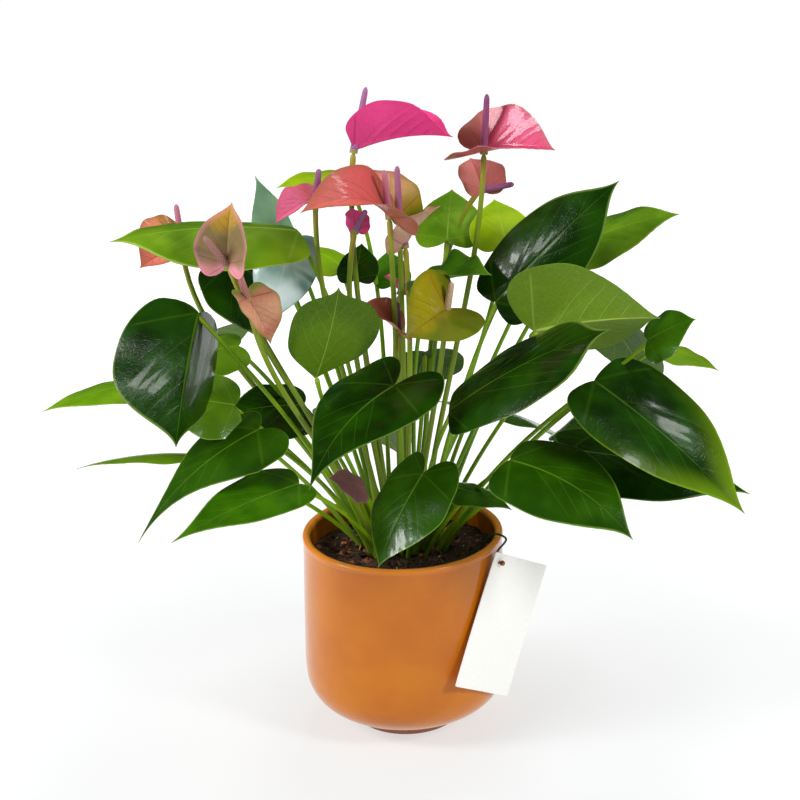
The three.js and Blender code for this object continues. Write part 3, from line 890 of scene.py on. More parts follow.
def blade_faces(spokes: int, rings: int) -> tuple[np.ndarray, np.ndarray, np.ndarray]:
    """Join one side of a blade: point 0 is the heart, and each spoke's rings are numbered outwards.

    Args:
        spokes: how many points the outline has.
        rings: how many points a spoke has beyond the heart.

    Returns:
        The quads, the fans about the heart, and the walls to the side that is numbered next.
    """
    i, j = np.meshgrid(np.arange(spokes - 1), np.arange(rings - 1), indexing="ij")
    at = 1 + i * rings + j
    quads = np.stack([at, at + 1, at + rings + 1, at + rings], -1).reshape(-1, 4)
    first = 1 + np.arange(spokes - 1) * rings
    fans = np.stack([np.zeros_like(first), first, first + rings], -1)
    rim = np.concatenate(
        [
            [0],
            1 + np.arange(rings),
            1 + np.arange(1, spokes) * rings + rings - 1,
            (1 + (spokes - 1) * rings + np.arange(rings - 1))[::-1],
        ]
    )
    onward = np.roll(rim, -1)
    face = 1 + spokes * rings
    return quads, fans, np.stack([rim, rim + face, onward + face, onward], -1)


@dataclass(frozen=True)
class Blade:
    """One heart-shaped blade. Pixels and depths as Sight reads them, width in mm, angles in degrees.

    heart is where the stalk joins and tip is the drip tip. bank turns the upper face towards the
    viewer, arch bends the midrib down, fold and curl raise the (left, right) half, sweep bows the
    midrib sideways, lobe is the share of the length behind the heart, wave is the margin's ripple
    and drip draws the tip out thin. core and margin are half the thickness there. The midrib stands
    out by rib below and rib_above above. The quilting has its full height on a blade as wide as
    quilt_width. It starts over quilt_ahead of the length, and comes and goes over quilt_in and
    quilt_out of the half width.
    """

    heart: Pixel
    tip: Pixel
    width: float
    bank: float = 0.0
    arch: float = 22.0
    fold: tuple[float, float] = (0.0, 0.0)
    curl: tuple[float, float] = (-22.0, -22.0)
    sweep: float = 0.0
    widest: float = 0.28
    lobe: float = 0.1
    wave: float = 0.8
    drip: float = 0.0
    core: float = 0.34
    margin: float = 0.16
    rib: float = 0.8
    quilt: float = 0.28
    rings: int = 22
    ring_power: float = 0.9
    rib_above: float = 0.2
    rib_width: float = 1.1
    rib_start: tuple[float, float] = (-0.02, 0.03)
    rib_taper: float = 1.05
    quilt_width: float = 70.0
    quilt_ahead: tuple[float, float] = (-0.02, 0.1)
    quilt_in: tuple[float, float] = (0.02, 0.3)
    quilt_out: tuple[float, float] = (0.75, 1.0)

    def axes(self) -> tuple[np.ndarray, np.ndarray, np.ndarray, np.ndarray, float]:
        """Lay the chord from heart to tip, and turn the upper face about it by the bank.

        Returns:
            The heart's place, the chord, upper face and right side directions, and the length.
        """
        heart = SIGHT.point(self.heart)
        chord = SIGHT.point(self.tip) - heart
        length = float(np.linalg.norm(chord))
        d = chord / length
        level = unit(UP - d * (UP @ d))
        side = np.cross(d, level)
        side = -side if side[1] > 0 else side
        bank = math.radians(self.bank)
        n = level * math.cos(bank) + side * math.sin(bank)
        return heart, d, n, np.cross(d, n), length

    def midrib(self, along: np.ndarray) -> tuple[np.ndarray, np.ndarray, np.ndarray]:
        """Midrib in its own plane: its slope falls evenly by the arch, and its ends lie on the chord.

        Args:
            along: shares of the length from the heart, negative in the lobes.

        Returns:
            Places along and above the chord, as shares of the length, and the slope in radians.
        """
        arch = math.radians(self.arch)
        step = arch * (0.5 - (np.arange(MIDRIB_STEPS) + 0.5) / MIDRIB_STEPS)
        ends = np.linspace(0.0, 1.0, MIDRIB_STEPS + 1)
        rows_u = np.concatenate([[0.0], np.cumsum(np.cos(step))]) / MIDRIB_STEPS
        rows_v = np.concatenate([[0.0], np.cumsum(np.sin(step))]) / MIDRIB_STEPS
        chord = math.hypot(rows_u[-1], rows_v[-1])
        tilt = math.atan2(rows_v[-1], rows_u[-1])
        slope = arch * (0.5 - np.maximum(along, 0.0))
        u = np.where(along > 0, np.interp(along, ends, rows_u), along * np.cos(slope))
        v = np.where(along > 0, np.interp(along, ends, rows_v), along * np.sin(slope))
        forward = (u * math.cos(tilt) + v * math.sin(tilt)) / chord
        upward = (v * math.cos(tilt) - u * math.sin(tilt)) / chord
        return forward, upward, slope - tilt

    def outline(self) -> np.ndarray:
        """Whole margin from the right side of the sinus by the tip to the left side of it.

        Each half is three cubic curves: tip to widest place, to the lobe's low corner, to the sinus.
        A blade with no lobes, whose lobe is below 0, runs straight from its low corner to the heart.

        Returns:
            Rows of (across, along), in shares of the half width and of the length.
        """
        point, sinus = np.array([0.0, 1.0]), np.array([0.0, 0.0])
        side, low = np.array([1.0, self.widest]), np.array([0.5, -self.lobe])
        bare = self.lobe < 0
        knee = np.array([0.7, -1.4 * self.lobe] if bare else [0.82, -self.lobe])
        early = np.linspace(0.0, 1.0, TIP_STEPS, endpoint=False)
        later = np.linspace(0.0, 1.0, SIDE_STEPS, endpoint=False)
        near = np.array([0.0] if bare else SINUS_SHARES)
        thin = np.array([0.12 - 0.07 * self.drip, 0.82 - 0.2 * self.drip])
        full = np.array([0.98 - 0.5 * self.drip, self.widest + 0.4 - 0.12 * self.drip])
        half = np.vstack(
            [
                bezier(point, thin, full, side, early),
                bezier(side, np.array([1.0, self.widest - 0.2]), knee, low, later),
                bezier(low, np.array([0.22, -self.lobe]), np.array([0.06, -0.4 * self.lobe]), sinus, near),
            ]
        )
        return np.vstack([half[::-1], half[1:] * np.array([-1.0, 1.0])])

    def surface(self, across: np.ndarray, along: np.ndarray, lift: np.ndarray) -> np.ndarray:
        """Points of the blade: each half is an arc from the midrib, carried along the bent midrib.

        Args:
            across: shares of the half width, positive to the right.
            along: shares of the length from the heart.
            lift: metres above the middle of the blade's thickness.

        Returns:
            The points, with the arrays' shape and three more numbers.
        """
        heart, d, n, e, length = self.axes()
        half = self.width * MM / 2
        right = across > 0
        r = np.abs(across)
        fold = np.radians(np.where(right, self.fold[1], self.fold[0]))
        curl = np.radians(np.where(right, self.curl[1], self.curl[0]))
        curl = np.where(curl == 0, NEXT_TO_NONE, curl)
        lean = fold + curl * r
        out = half * (np.sin(lean) - np.sin(fold)) / curl
        phase = 2 * np.pi * MARGIN_WAVES * along + 2 * right + self.width
        rise = half * (np.cos(fold) - np.cos(lean)) / curl + self.wave * MM * r * r * np.sin(phase)
        rise = rise + self.relief(r, along)
        forward, upward, slope = self.midrib(along)
        sign = np.where(across < 0, -1.0, 1.0)
        tilt = np.where(r < NEXT_TO_NONE, 0.0, sign * lean)
        x = sign * out - lift * np.sin(tilt)
        z = rise + lift * np.cos(tilt)
        bow = 4 * self.sweep * np.maximum(along, 0.0) * (1 - along)
        return (
            heart
            + d * (length * forward - z * np.sin(slope))[..., None]
            + n * (length * upward + z * np.cos(slope))[..., None]
            + e * (x + length * bow)[..., None]
        )

    def relief(self, r: np.ndarray, along: np.ndarray) -> np.ndarray:
        """Quilting: the blade swells between side veins by a cosine, none at midrib or margin.

        Args:
            r: shares of the half width.
            along: shares of the length from the heart.

        Returns:
            The rise in metres at each place.
        """
        lines = VEINS.lines(r, along)
        swell = -0.5 * np.cos(2 * np.pi * lines / VEINS.spacing)
        reach = smooth(lines, *self.quilt_ahead) * smooth(r, *self.quilt_in)
        scale = self.quilt * MM * min(1.0, self.width / self.quilt_width)
        return scale * swell * reach * (1 - smooth(r, *self.quilt_out))

    def add_to(self, piece: Piece, upper: int, lower: int) -> None:
        """Add the closed blade to a piece: a fan of rings about the heart, above and below.

        The half thickness falls from core to margin with the fourth power of the reach, and the
        underside stands down along the midrib by a bell curve of the distance from it.

        Args:
            piece: the piece that it joins.
            upper, lower: the material numbers of its two faces.
        """
        outline = self.outline()
        share = (np.arange(1, self.rings + 1) / self.rings) ** self.ring_power
        grid = outline[:, None, :] * share[None, :, None]
        across, along = grid[..., 0], grid[..., 1]
        reach = np.broadcast_to(share[None, :], across.shape)
        lift = MM * (self.margin + (self.core - self.margin) * (1 - reach**4))
        bell = np.exp(-((across * self.width / 2 / self.rib_width) ** 2))
        ridge = bell * smooth(along, *self.rib_start) * (self.rib_taper - along)
        sides = [lift - self.rib_above * MM * ridge, -lift - self.rib * MM * ridge]
        corners = [self.surface(across, along, side) for side in sides]
        zero = np.zeros(1)
        hearts = [self.surface(zero, zero, np.full(1, side)) for side in (self.core * MM, -self.core * MM)]
        vertices = np.vstack([np.vstack([h, c.reshape(-1, 3)]) for h, c in zip(hearts, corners)])
        place = np.stack([across, along, reach], -1).reshape(-1, 3)
        place = np.vstack([np.zeros((1, 3)), place] * 2)
        quads, fans, walls = blade_faces(*across.shape)
        face = len(vertices) // 2
        top = [(quads, upper), (fans, upper)]
        bottom = [(quads[:, ::-1] + face, lower), (fans[:, ::-1] + face, lower), (walls, lower)]
        piece.add(vertices, top + bottom, place)


# Stalks


TOP_SHARES = [0.96, 0.975, 0.985, 0.992, 0.997, 1.0]


@dataclass(frozen=True)
class StalkPlan:
    """Sizes in mm shared by all the stalks, and how they leave the crown and arrive.

    A stalk leaves upright by the share bow and holds its first direction for leave of its reach,
    and its last for land of it. Under a leaf it levels out by the share arrive. Its end stands off
    the blade by press of its radius, or below a spadix by gap. It is wider by the share sheath over
    the first sheath_end of its length, slims from slim by taper, and its knuckle swells over
    knuckle_span and then closes.
    """

    crown_level: float = 116.0
    root_start: float = 5.0
    root_spread: float = 0.11
    root_reach: float = 26.0
    root_back: float = 5.0
    bow: float = 0.35
    leave: float = 0.4
    land: float = 0.3
    arrive: float = 0.35
    leaf_radius: float = 1.7
    bloom_radius: float = 2.1
    leaf_knuckle: float = 0.22
    bloom_knuckle: float = 0.12
    seat_in: float = 2.0
    press: float = 0.75
    gap: float = 0.2
    sheath: float = 0.3
    sheath_end: float = 0.3
    slim: float = 0.92
    taper: float = 0.08
    knuckle_span: tuple[float, float] = (0.93, 0.985)
    rows: int = 24
    sides: int = 14

    def shares(self) -> np.ndarray:
        """Return the shares of a stalk's length at its rings, closer together at the top."""
        return np.concatenate([np.linspace(0.0, 0.94, self.rows), TOP_SHARES])

    def root(self, end: np.ndarray) -> np.ndarray:
        """Place the foot of a stalk in the crown, on the side that its end leans to.

        Args:
            end: the stalk's top.

        Returns:
            The foot's place.
        """
        reach = math.hypot(end[0], end[1])
        radius = min(self.root_start * MM + self.root_spread * reach, self.root_reach * MM)
        y = self.root_back * MM + end[1] / reach * radius
        return np.array([end[0] / reach * radius, y, self.crown_level * MM])

    def path(self, end: np.ndarray, arrive: np.ndarray) -> np.ndarray:
        """Stalk's middle line: a cubic curve that leaves nearly upright and arrives as told.

        Args:
            end: the stalk's top.
            arrive: the direction that it arrives in.

        Returns:
            The line's points, one a row.
        """
        root = self.root(end)
        reach = float(np.linalg.norm(end - root))
        rise = unit(end - root)
        early = unit(rise * (1 - self.bow) + UP * self.bow)
        first = root + early * self.leave * reach
        last = end - arrive * self.land * reach
        return bezier(root, first, last, end, self.shares())

    def under_leaf(self, blade: Blade) -> np.ndarray:
        """Lead a leaf's stalk up against its midrib from below.

        Args:
            blade: the leaf.

        Returns:
            The stalk's middle line.
        """
        heart, d, n, _, length = blade.axes()
        start = heart + d * self.seat_in * MM
        rise = unit(start - self.root(start))
        level = np.array([d[0], d[1], max(d[2], 0.0)])
        arrive = unit(rise + level * self.arrive)
        slant = math.sqrt(1 - min(1.0, float(arrive @ n) ** 2))
        below = (blade.core + self.press * self.leaf_radius * slant) * MM
        seat = np.array([self.seat_in * MM / length])
        end = blade.surface(np.zeros(1), seat, np.array([-below]))[0]
        return self.path(end, arrive)

    def under_bloom(self, joint: np.ndarray, spike: np.ndarray, root: float) -> np.ndarray:
        """Lead a bloom's stalk up to the foot of its spadix.

        Args:
            joint: where the spadix meets the spathe.
            spike: the spadix's top.
            root: how far the spadix reaches behind the joint, in mm.

        Returns:
            The stalk's middle line.
        """
        along = unit(spike - joint)
        end = joint - along * (root + self.gap) * MM
        return self.path(end, unit(along * 0.5 + UP * 0.5))


STALKS = StalkPlan()


class StalkBundle:
    """A set of stalks that are made as one piece."""

    def __init__(self, radius: float, knuckle: float) -> None:
        """Start an empty bundle.

        Args:
            radius: the stalks' radius in mm.
            knuckle: the share by which their tops are thicker.
        """
        self.radius = radius
        self.knuckle = knuckle
        self.paths: list[np.ndarray] = []
        self.shades: list[float] = []

    def add(self, path: np.ndarray, shade: float) -> None:
        """Add a stalk along this line, with a shade from 0, pale, to 1, deep."""
        self.paths.append(path)
        self.shades.append(shade)

    def build(self, name: str, finish: StalkFinish) -> None:
        """Make all the stalks: wider at the sheathed foot, slim above, with a knuckle at the top.

        Args:
            name: the piece's name.
            finish: the stalks' finish.
        """
        paths = np.stack(self.paths)
        share = STALKS.shares()
        sheath = STALKS.sheath * (1 - smooth(share, 0.0, STALKS.sheath_end))
        swell = 1.0 + sheath + self.knuckle * smooth(share, *STALKS.knuckle_span)
        slim = STALKS.slim - STALKS.taper * share
        full = STALKS.knuckle_span[1]
        closing = np.sqrt(1 - np.clip((share - full) / (1 - full), 0.0, 0.9) ** 2)
        radii = np.repeat((self.radius * MM * swell * slim * closing)[None], len(paths), 0)
        chord = paths[:, -1] - paths[:, 0]
        level = np.stack([chord[:, 1], -chord[:, 0], np.zeros(len(paths))], -1)
        vertices, quads, triangles = tubes(paths, radii, STALKS.sides, unit(level))
        rows = np.concatenate([np.repeat(share, STALKS.sides), [0.0, 1.0]])
        place = np.zeros_like(vertices)
        place[:, 0] = np.tile(rows, len(paths))
        place[:, 1] = np.repeat(self.shades, len(rows))
        solid(name, (vertices, quads, triangles), finish.material(), STEMS_SLOT, "stems", place)


# Blooms


ASIDE = np.array([0.3, 1.0, 0.1])  # a direction that no spadix runs along


@dataclass(frozen=True)
class Spadix:
    """The spike on a spathe, covered in florets, in mm.

    Its radius shrinks by the share taper, and its last share dome is rounded. The florets stand
    floret high and pitch apart along the spike, on as many spirals as turns each way. flat is the
    height of a floret, of 0 to 1, that lies on the radius.
    """

    joint: Pixel
    spike: Pixel
    radius: float = 2.7
    taper: float = 0.35
    root: float = 2.0
    floret: float = 0.34
    pitch: float = 2.6
    turns: int = 7
    roundness: float = 0.6
    flat: float = 0.6
    dome: float = 0.1
    sides: int = 40
    least_rows: int = 40
    row_step: float = 0.55

    def add_to(self, piece: Piece, paint: int) -> None:
        """Add the spike: a tapering round rod whose florets are bumps on two crossed spirals.

        Args:
            piece: the piece that it joins.
            paint: the number of its material.
        """
        joint, top = SIGHT.point(self.joint), SIGHT.point(self.spike)
        axis = unit(top - joint)
        start = joint - axis * self.root * MM
        length = float(np.linalg.norm(top - start))
        rows = max(self.least_rows, int(length / (self.row_step * MM)))
        share = np.linspace(0.0, 1.0, rows)
        turn = around(self.sides)
        pitch = 2 * np.pi * length / (self.pitch * MM)
        one = self.turns * turn[None] + pitch * share[:, None]
        two = self.turns * turn[None] - pitch * share[:, None]
        crest = np.abs(np.cos(one / 2) * np.cos(two / 2)) ** self.roundness
        closed = np.clip((share - (1 - self.dome)) / self.dome, 0.0, 0.99)
        radius = (self.radius * (1 - self.taper * share))[:, None] + self.floret * (crest - self.flat)
        radius = radius * np.sqrt(1 - closed**2)[:, None] * MM
        first = unit(np.cross(axis, ASIDE))
        second = np.cross(axis, first)
        ring = first * np.cos(turn)[:, None] + second * np.sin(turn)[:, None]
        middle = start + axis * (share * length)[:, None]
        rings = middle[:, None] + ring[None] * radius[..., None]
        vertices, quads, triangles = capped(rings[None], middle[:1], middle[-1:])
        place = np.zeros_like(vertices)
        place[:-2, 0] = crest.ravel()
        place[:-2, 1] = np.repeat(share, self.sides)
        place[:-2, 2] = np.repeat(share * length / MM - self.root, self.sides)
        place[-2, 2] = -self.root
        place[-1, 1:] = 1.0
        piece.add(vertices, [(quads, paint), (triangles, paint)], place)


@dataclass(frozen=True)
class Spathe(Blade):
    """The blade of a bloom: a cupped blade with deeper lobes, and thicker than a leaf."""

    arch: float = 25.0
    fold: tuple[float, float] = (20.0, 20.0)
    curl: tuple[float, float] = (15.0, 15.0)
    lobe: float = 0.2
    wave: float = 1.0
    core: float = 0.42
    margin: float = 0.22
    rib: float = 0.5
    quilt: float = 0.45
    rings: int = 18


@dataclass(frozen=True)
class Bloom:
    """A spathe with its spadix and its own colours, drawn as one piece."""

    spathe: Spathe
    spadix: Spadix
    finish: SpatheFinish

    def build(self, name: str) -> None:
        """Make the bloom.

        Args:
            name: the frame's node that it stands for.
        """
        piece = Piece(name + "_fine")
        self.spathe.add_to(piece, 0, 1)
        self.spadix.add_to(piece, 2)
        front = self.finish.face(name + "_front", False)
        back = self.finish.face(name + "_back", True)
        spike = self.finish.spadix(name + "_spike")
        piece.build([front, back, spike], self.finish.slot, [name])

    def stalk(self) -> np.ndarray:
        """Return the middle line of the bloom's stalk."""
        joint, spike = SIGHT.point(self.spathe.heart), SIGHT.point(self.spadix.spike)
        return STALKS.under_bloom(joint, spike, self.spadix.root)


def bloom(
    joint: Pixel, tip: Pixel, spike: Pixel, width: float, finish: SpatheFinish, **shape: object
) -> Bloom:
    """Make a bloom from its joint, spathe tip, spadix tip and width, its colours and spathe shape."""
    return Bloom(Spathe(joint, tip, width, **shape), Spadix(joint, spike), finish)


# Leaves, as placed in the photograph


LEAVES: dict[str, tuple[Tone, Blade]] = {
    "leaf_left_1": (
        Tone.LIGHT,
        Blade((298, 231, -15), (109, 242, -75), 74, bank=16, fold=(-8, -14), widest=0.45, lobe=0.02),
    ),
    # Painted sheen and backlit glow.
    "leaf_left_2": (Tone.PAINTED_SHEEN, Blade((286, 268, 55), (255, 176, 75), 40)),
    # Painted glare of reflected light.
    "leaf_left_3": (Tone.PAINTED_GLARE, Blade((292, 240, 12), (270, 326, -20), 46, bank=15)),
    "leaf_left_4": (Tone.DARK, Blade((226, 268, 30), (266, 344, 0), 54)),
    "leaf_left_5": (
        Tone.DARK,
        Blade((199, 313, -60), (176, 448, -112), 104, fold=(-85, 5), curl=(-10, -10), widest=0.4),
    ),
    "leaf_left_6": (Tone.PALE, Blade((168, 380, 15), (42, 412, -25), 50)),
    "leaf_left_7": (Tone.FRESH, Blade((238, 346, 0), (165, 366, -15), 50, bank=15)),
    "leaf_left_8": (Tone.FRESH, Blade((234, 405, -50), (150, 399, -60), 56, bank=35)),
    "leaf_left_9": (
        Tone.FULL,
        Blade((258, 430, -70), (138, 543, -118), 62, bank=14, sweep=0.06, widest=0.2, drip=0.9),
    ),
    "leaf_left_10": (Tone.LIGHT, Blade((205, 455, 35), (76, 469, 20), 44, bank=-15)),
    "leaf_left_11": (
        Tone.MID,
        Blade((299, 484, -90), (171, 543, -135), 54, bank=22, fold=(25, 0), lobe=0.04, drip=0.3),
    ),
    "leaf_left_12": (Tone.DARK, Blade((303, 405, 0), (225, 415, -18), 56, bank=25)),
    "leaf_front_1": (
        Tone.DARK,
        Blade(
            (394, 386, -62), (309, 490, -125), 74,
            bank=14, fold=(12, 0), sweep=0.07, widest=0.2, lobe=0.26, drip=0.4,
        ),
    ),
    "leaf_front_2": (
        Tone.SHADED,
        Blade((315, 378, -60), (339, 287, -75), 64, bank=-30, arch=-25, widest=0.6, lobe=-0.2),
    ),
    "leaf_front_3": (Tone.FULL, Blade((423, 474, -72), (378, 568, -106), 62, lobe=0.22)),
    "leaf_front_4": (Tone.MID, Blade((449, 486, -50), (512, 510, -72), 36)),
    "leaf_front_5": (Tone.BRONZE, Blade((364, 488, -52), (328, 478, -70), 26, bank=40)),
    "leaf_right_1": (Tone.DARK, Blade((449, 411, -58), (611, 329, -95), 72, bank=25, widest=0.5, lobe=0)),
    "leaf_right_2": (
        Tone.FULL,
        Blade((510, 460, -75), (633, 540, -125), 66, bank=25, sweep=-0.07, lobe=0.03),
    ),
    # Its paler margin zone is partly painted sheen.
    "leaf_right_3": (
        Tone.RIM_AND_SHEEN,
        Blade((594, 381, -40), (745, 514, -95), 94, bank=24, fold=(0, 25), lobe=0.02),
    ),
    "leaf_right_4": (Tone.DARK, Blade((570, 450, -25), (750, 494, -45), 76, bank=15)),
    "leaf_right_5": (Tone.LIGHT, Blade((534, 331, -40), (660, 318, -70), 112, bank=-65, fold=(40, 8))),
    "leaf_right_6": (
        Tone.DARK,
        Blade((496, 302, -30), (620, 180, -20), 60, bank=50, widest=0.36, lobe=0.04),
    ),
    "leaf_right_7": (Tone.YOUNG, Blade((506, 244, 10), (494, 199, 60), 46)),
    "leaf_right_8": (Tone.FRESH, Blade((447, 240, 25), (452, 189, 80), 48)),
    "leaf_right_9": (Tone.FRESH, Blade((578, 245, 25), (680, 214, 0), 62, bank=20)),
    "leaf_right_10": (Tone.MID, Blade((648, 340, -25), (696, 319, -35), 46, bank=30)),
    "leaf_right_11": (Tone.LIGHT, Blade((655, 345, 0), (719, 371, -20), 34)),
    "leaf_right_12": (Tone.MID, Blade((555, 440, 35), (625, 400, 35), 60)),
    "leaf_mid_1": (Tone.MID, Blade((427, 284, -5), (492, 275, -40), 48, bank=12, fold=(30, 30), wave=4)),
    "leaf_mid_2": (Tone.YOUNG, Blade((350, 176, 40), (276, 188, 10), 36, bank=10)),
    "leaf_mid_3": (Tone.YOUNG, Blade((343, 268, 38), (300, 246, 78), 40)),
    "leaf_mid_4": (Tone.DARK, Blade((356, 279, 15), (362, 243, 40), 30)),
    "leaf_mid_5": (Tone.MID, Blade((393, 284, 35), (388, 250, 65), 28)),
    "leaf_mid_6": (Tone.DARK, Blade((425, 352, 20), (415, 398, 55), 60)),
    "leaf_back_1": (Tone.MID, Blade((470, 405, 90), (560, 440, 165), 70)),
    "leaf_back_2": (Tone.DARK, Blade((590, 300, 80), (655, 400, 150), 76)),
    "leaf_back_3": (Tone.MID, Blade((540, 260, 90), (600, 310, 160), 70)),
    "leaf_back_4": (Tone.DARK, Blade((350, 410, 90), (400, 455, 165), 72)),
    "leaf_back_5": (Tone.MID, Blade((215, 330, 70), (150, 400, 140), 74)),
    "leaf_back_6": (Tone.DARK, Blade((270, 250, 80), (200, 290, 140), 70)),
}


# Blooms, each with its own colours: heart, body, tip, lobes, back, spike and spike tip


ROSE = SpatheFinish(
    "spathe_pink", (206, 88, 100), (222, 62, 122), (232, 58, 126), (168, 96, 80), (194, 86, 96),
    (140, 78, 118), (124, 62, 108),
)
HOT = SpatheFinish(
    "spathe_magenta", (222, 60, 128), (240, 66, 146), (246, 84, 152), (206, 50, 116), (222, 62, 132),
    (146, 88, 134), (158, 100, 148), (170, 30, 90),
)
SALMON = SpatheFinish(
    "spathe_coral", (184, 84, 74), (208, 86, 86), (208, 108, 104), (146, 96, 48), (184, 92, 74),
    (168, 92, 112), (186, 108, 130), (112, 84, 40), 0.85,
)
OLIVE = SpatheFinish(
    "spathe_olive", (150, 132, 8), (152, 142, 0), (118, 110, 4), (94, 108, 0), (136, 128, 16),
    (176, 146, 112), (186, 158, 130), (128, 62, 40), 0.6,
)

BLOOMS: dict[str, Bloom] = {
    "bloom_1": bloom(
        (227, 264, -85), (232, 202, -75), (204, 237, -95), 42,
        replace(
            OLIVE, heart=(150, 116, 92), body=(126, 110, 74), tip=(196, 150, 24), lobes=(226, 140, 156),
            back=(120, 110, 40), spike=(136, 92, 84), spike_tip=(148, 104, 96),
        ),
    ),
    "bloom_2": bloom(
        (247, 298, -85), (271, 344, -100), (239, 272, -88), 36,
        replace(
            SALMON, heart=(190, 122, 100), body=(200, 146, 116), tip=(190, 96, 80), lobes=(110, 126, 44),
            back=(150, 120, 76), spike=(150, 96, 92), spike_tip=(166, 108, 106),
        ),
    ),
    "bloom_3": bloom(
        (182, 246, 20), (140, 268, 0), (176, 204, 22), 56,
        replace(SALMON, heart=(208, 150, 84), body=(222, 122, 104), tip=(214, 96, 96), back=(206, 146, 92)),
        bank=20,
    ),
    "bloom_4": bloom(
        (316, 198, -20), (275, 224, -45), (319, 169, -20), 32,
        replace(
            ROSE, body=(226, 108, 146), tip=(236, 110, 150), lobes=(190, 96, 110), spike=(128, 66, 116),
            spike_tip=(140, 78, 130),
        ),
        bank=5, arch=30,
    ),
    "bloom_5": bloom(
        (389, 216, -40), (300, 213, -80), (384, 170, -42), 52, SALMON,
        bank=25, arch=80,
    ),
    "bloom_6": bloom(
        (399, 214, -5), (366, 168, 20), (397, 166, -5), 40,
        replace(
            OLIVE, body=(196, 156, 108), tip=(206, 74, 134), spike=(150, 90, 120), spike_tip=(160, 96, 130)
        ),
    ),
    "bloom_7": bloom((356, 230, -15), (352, 208, -20), (366, 210, -18), 20, HOT),
    "bloom_8": bloom(
        (354, 150, 0), (453, 137, -20), (366, 87, 6), 58, HOT,
        bank=-60, arch=45, fold=(80, 5), widest=0.4, lobe=0,
    ),
    "bloom_9": bloom(
        (484, 151, 10), (555, 150, -20), (487, 94, 8), 58, ROSE,
        bank=10, fold=(50, 15), lobe=0.4,
    ),
    "bloom_10": bloom(
        (482, 190, 30), (470, 158, 50), (514, 184, 20), 38,
        replace(ROSE, heart=(176, 100, 92), body=(184, 110, 98), tip=(200, 116, 112), back=(190, 108, 104)),
    ),
    "bloom_11": bloom(
        (405, 245, -15), (440, 206, -30), (402, 226, -15), 36,
        replace(ROSE, body=(222, 184, 166), tip=(226, 150, 142), back=(214, 176, 150), lobes=(204, 132, 110)),
    ),
    "bloom_12": bloom((401, 292, 5), (384, 276, 0), (408, 272, 5), 24, ROSE),
    "bloom_13": bloom(
        (398, 330, -30), (358, 306, -50), (397, 302, -31), 32,
        replace(SALMON, body=(168, 84, 72), tip=(190, 96, 92), spike=(96, 48, 66), spike_tip=(110, 56, 80)),
        bank=35,
    ),
    "bloom_14": bloom(
        (447, 309, -50), (405, 338, -85), (452, 282, -48), 60, replace(OLIVE, far=(84, 104, 6)),
        bank=45, lobe=0.35,
    ),
}


# Pot


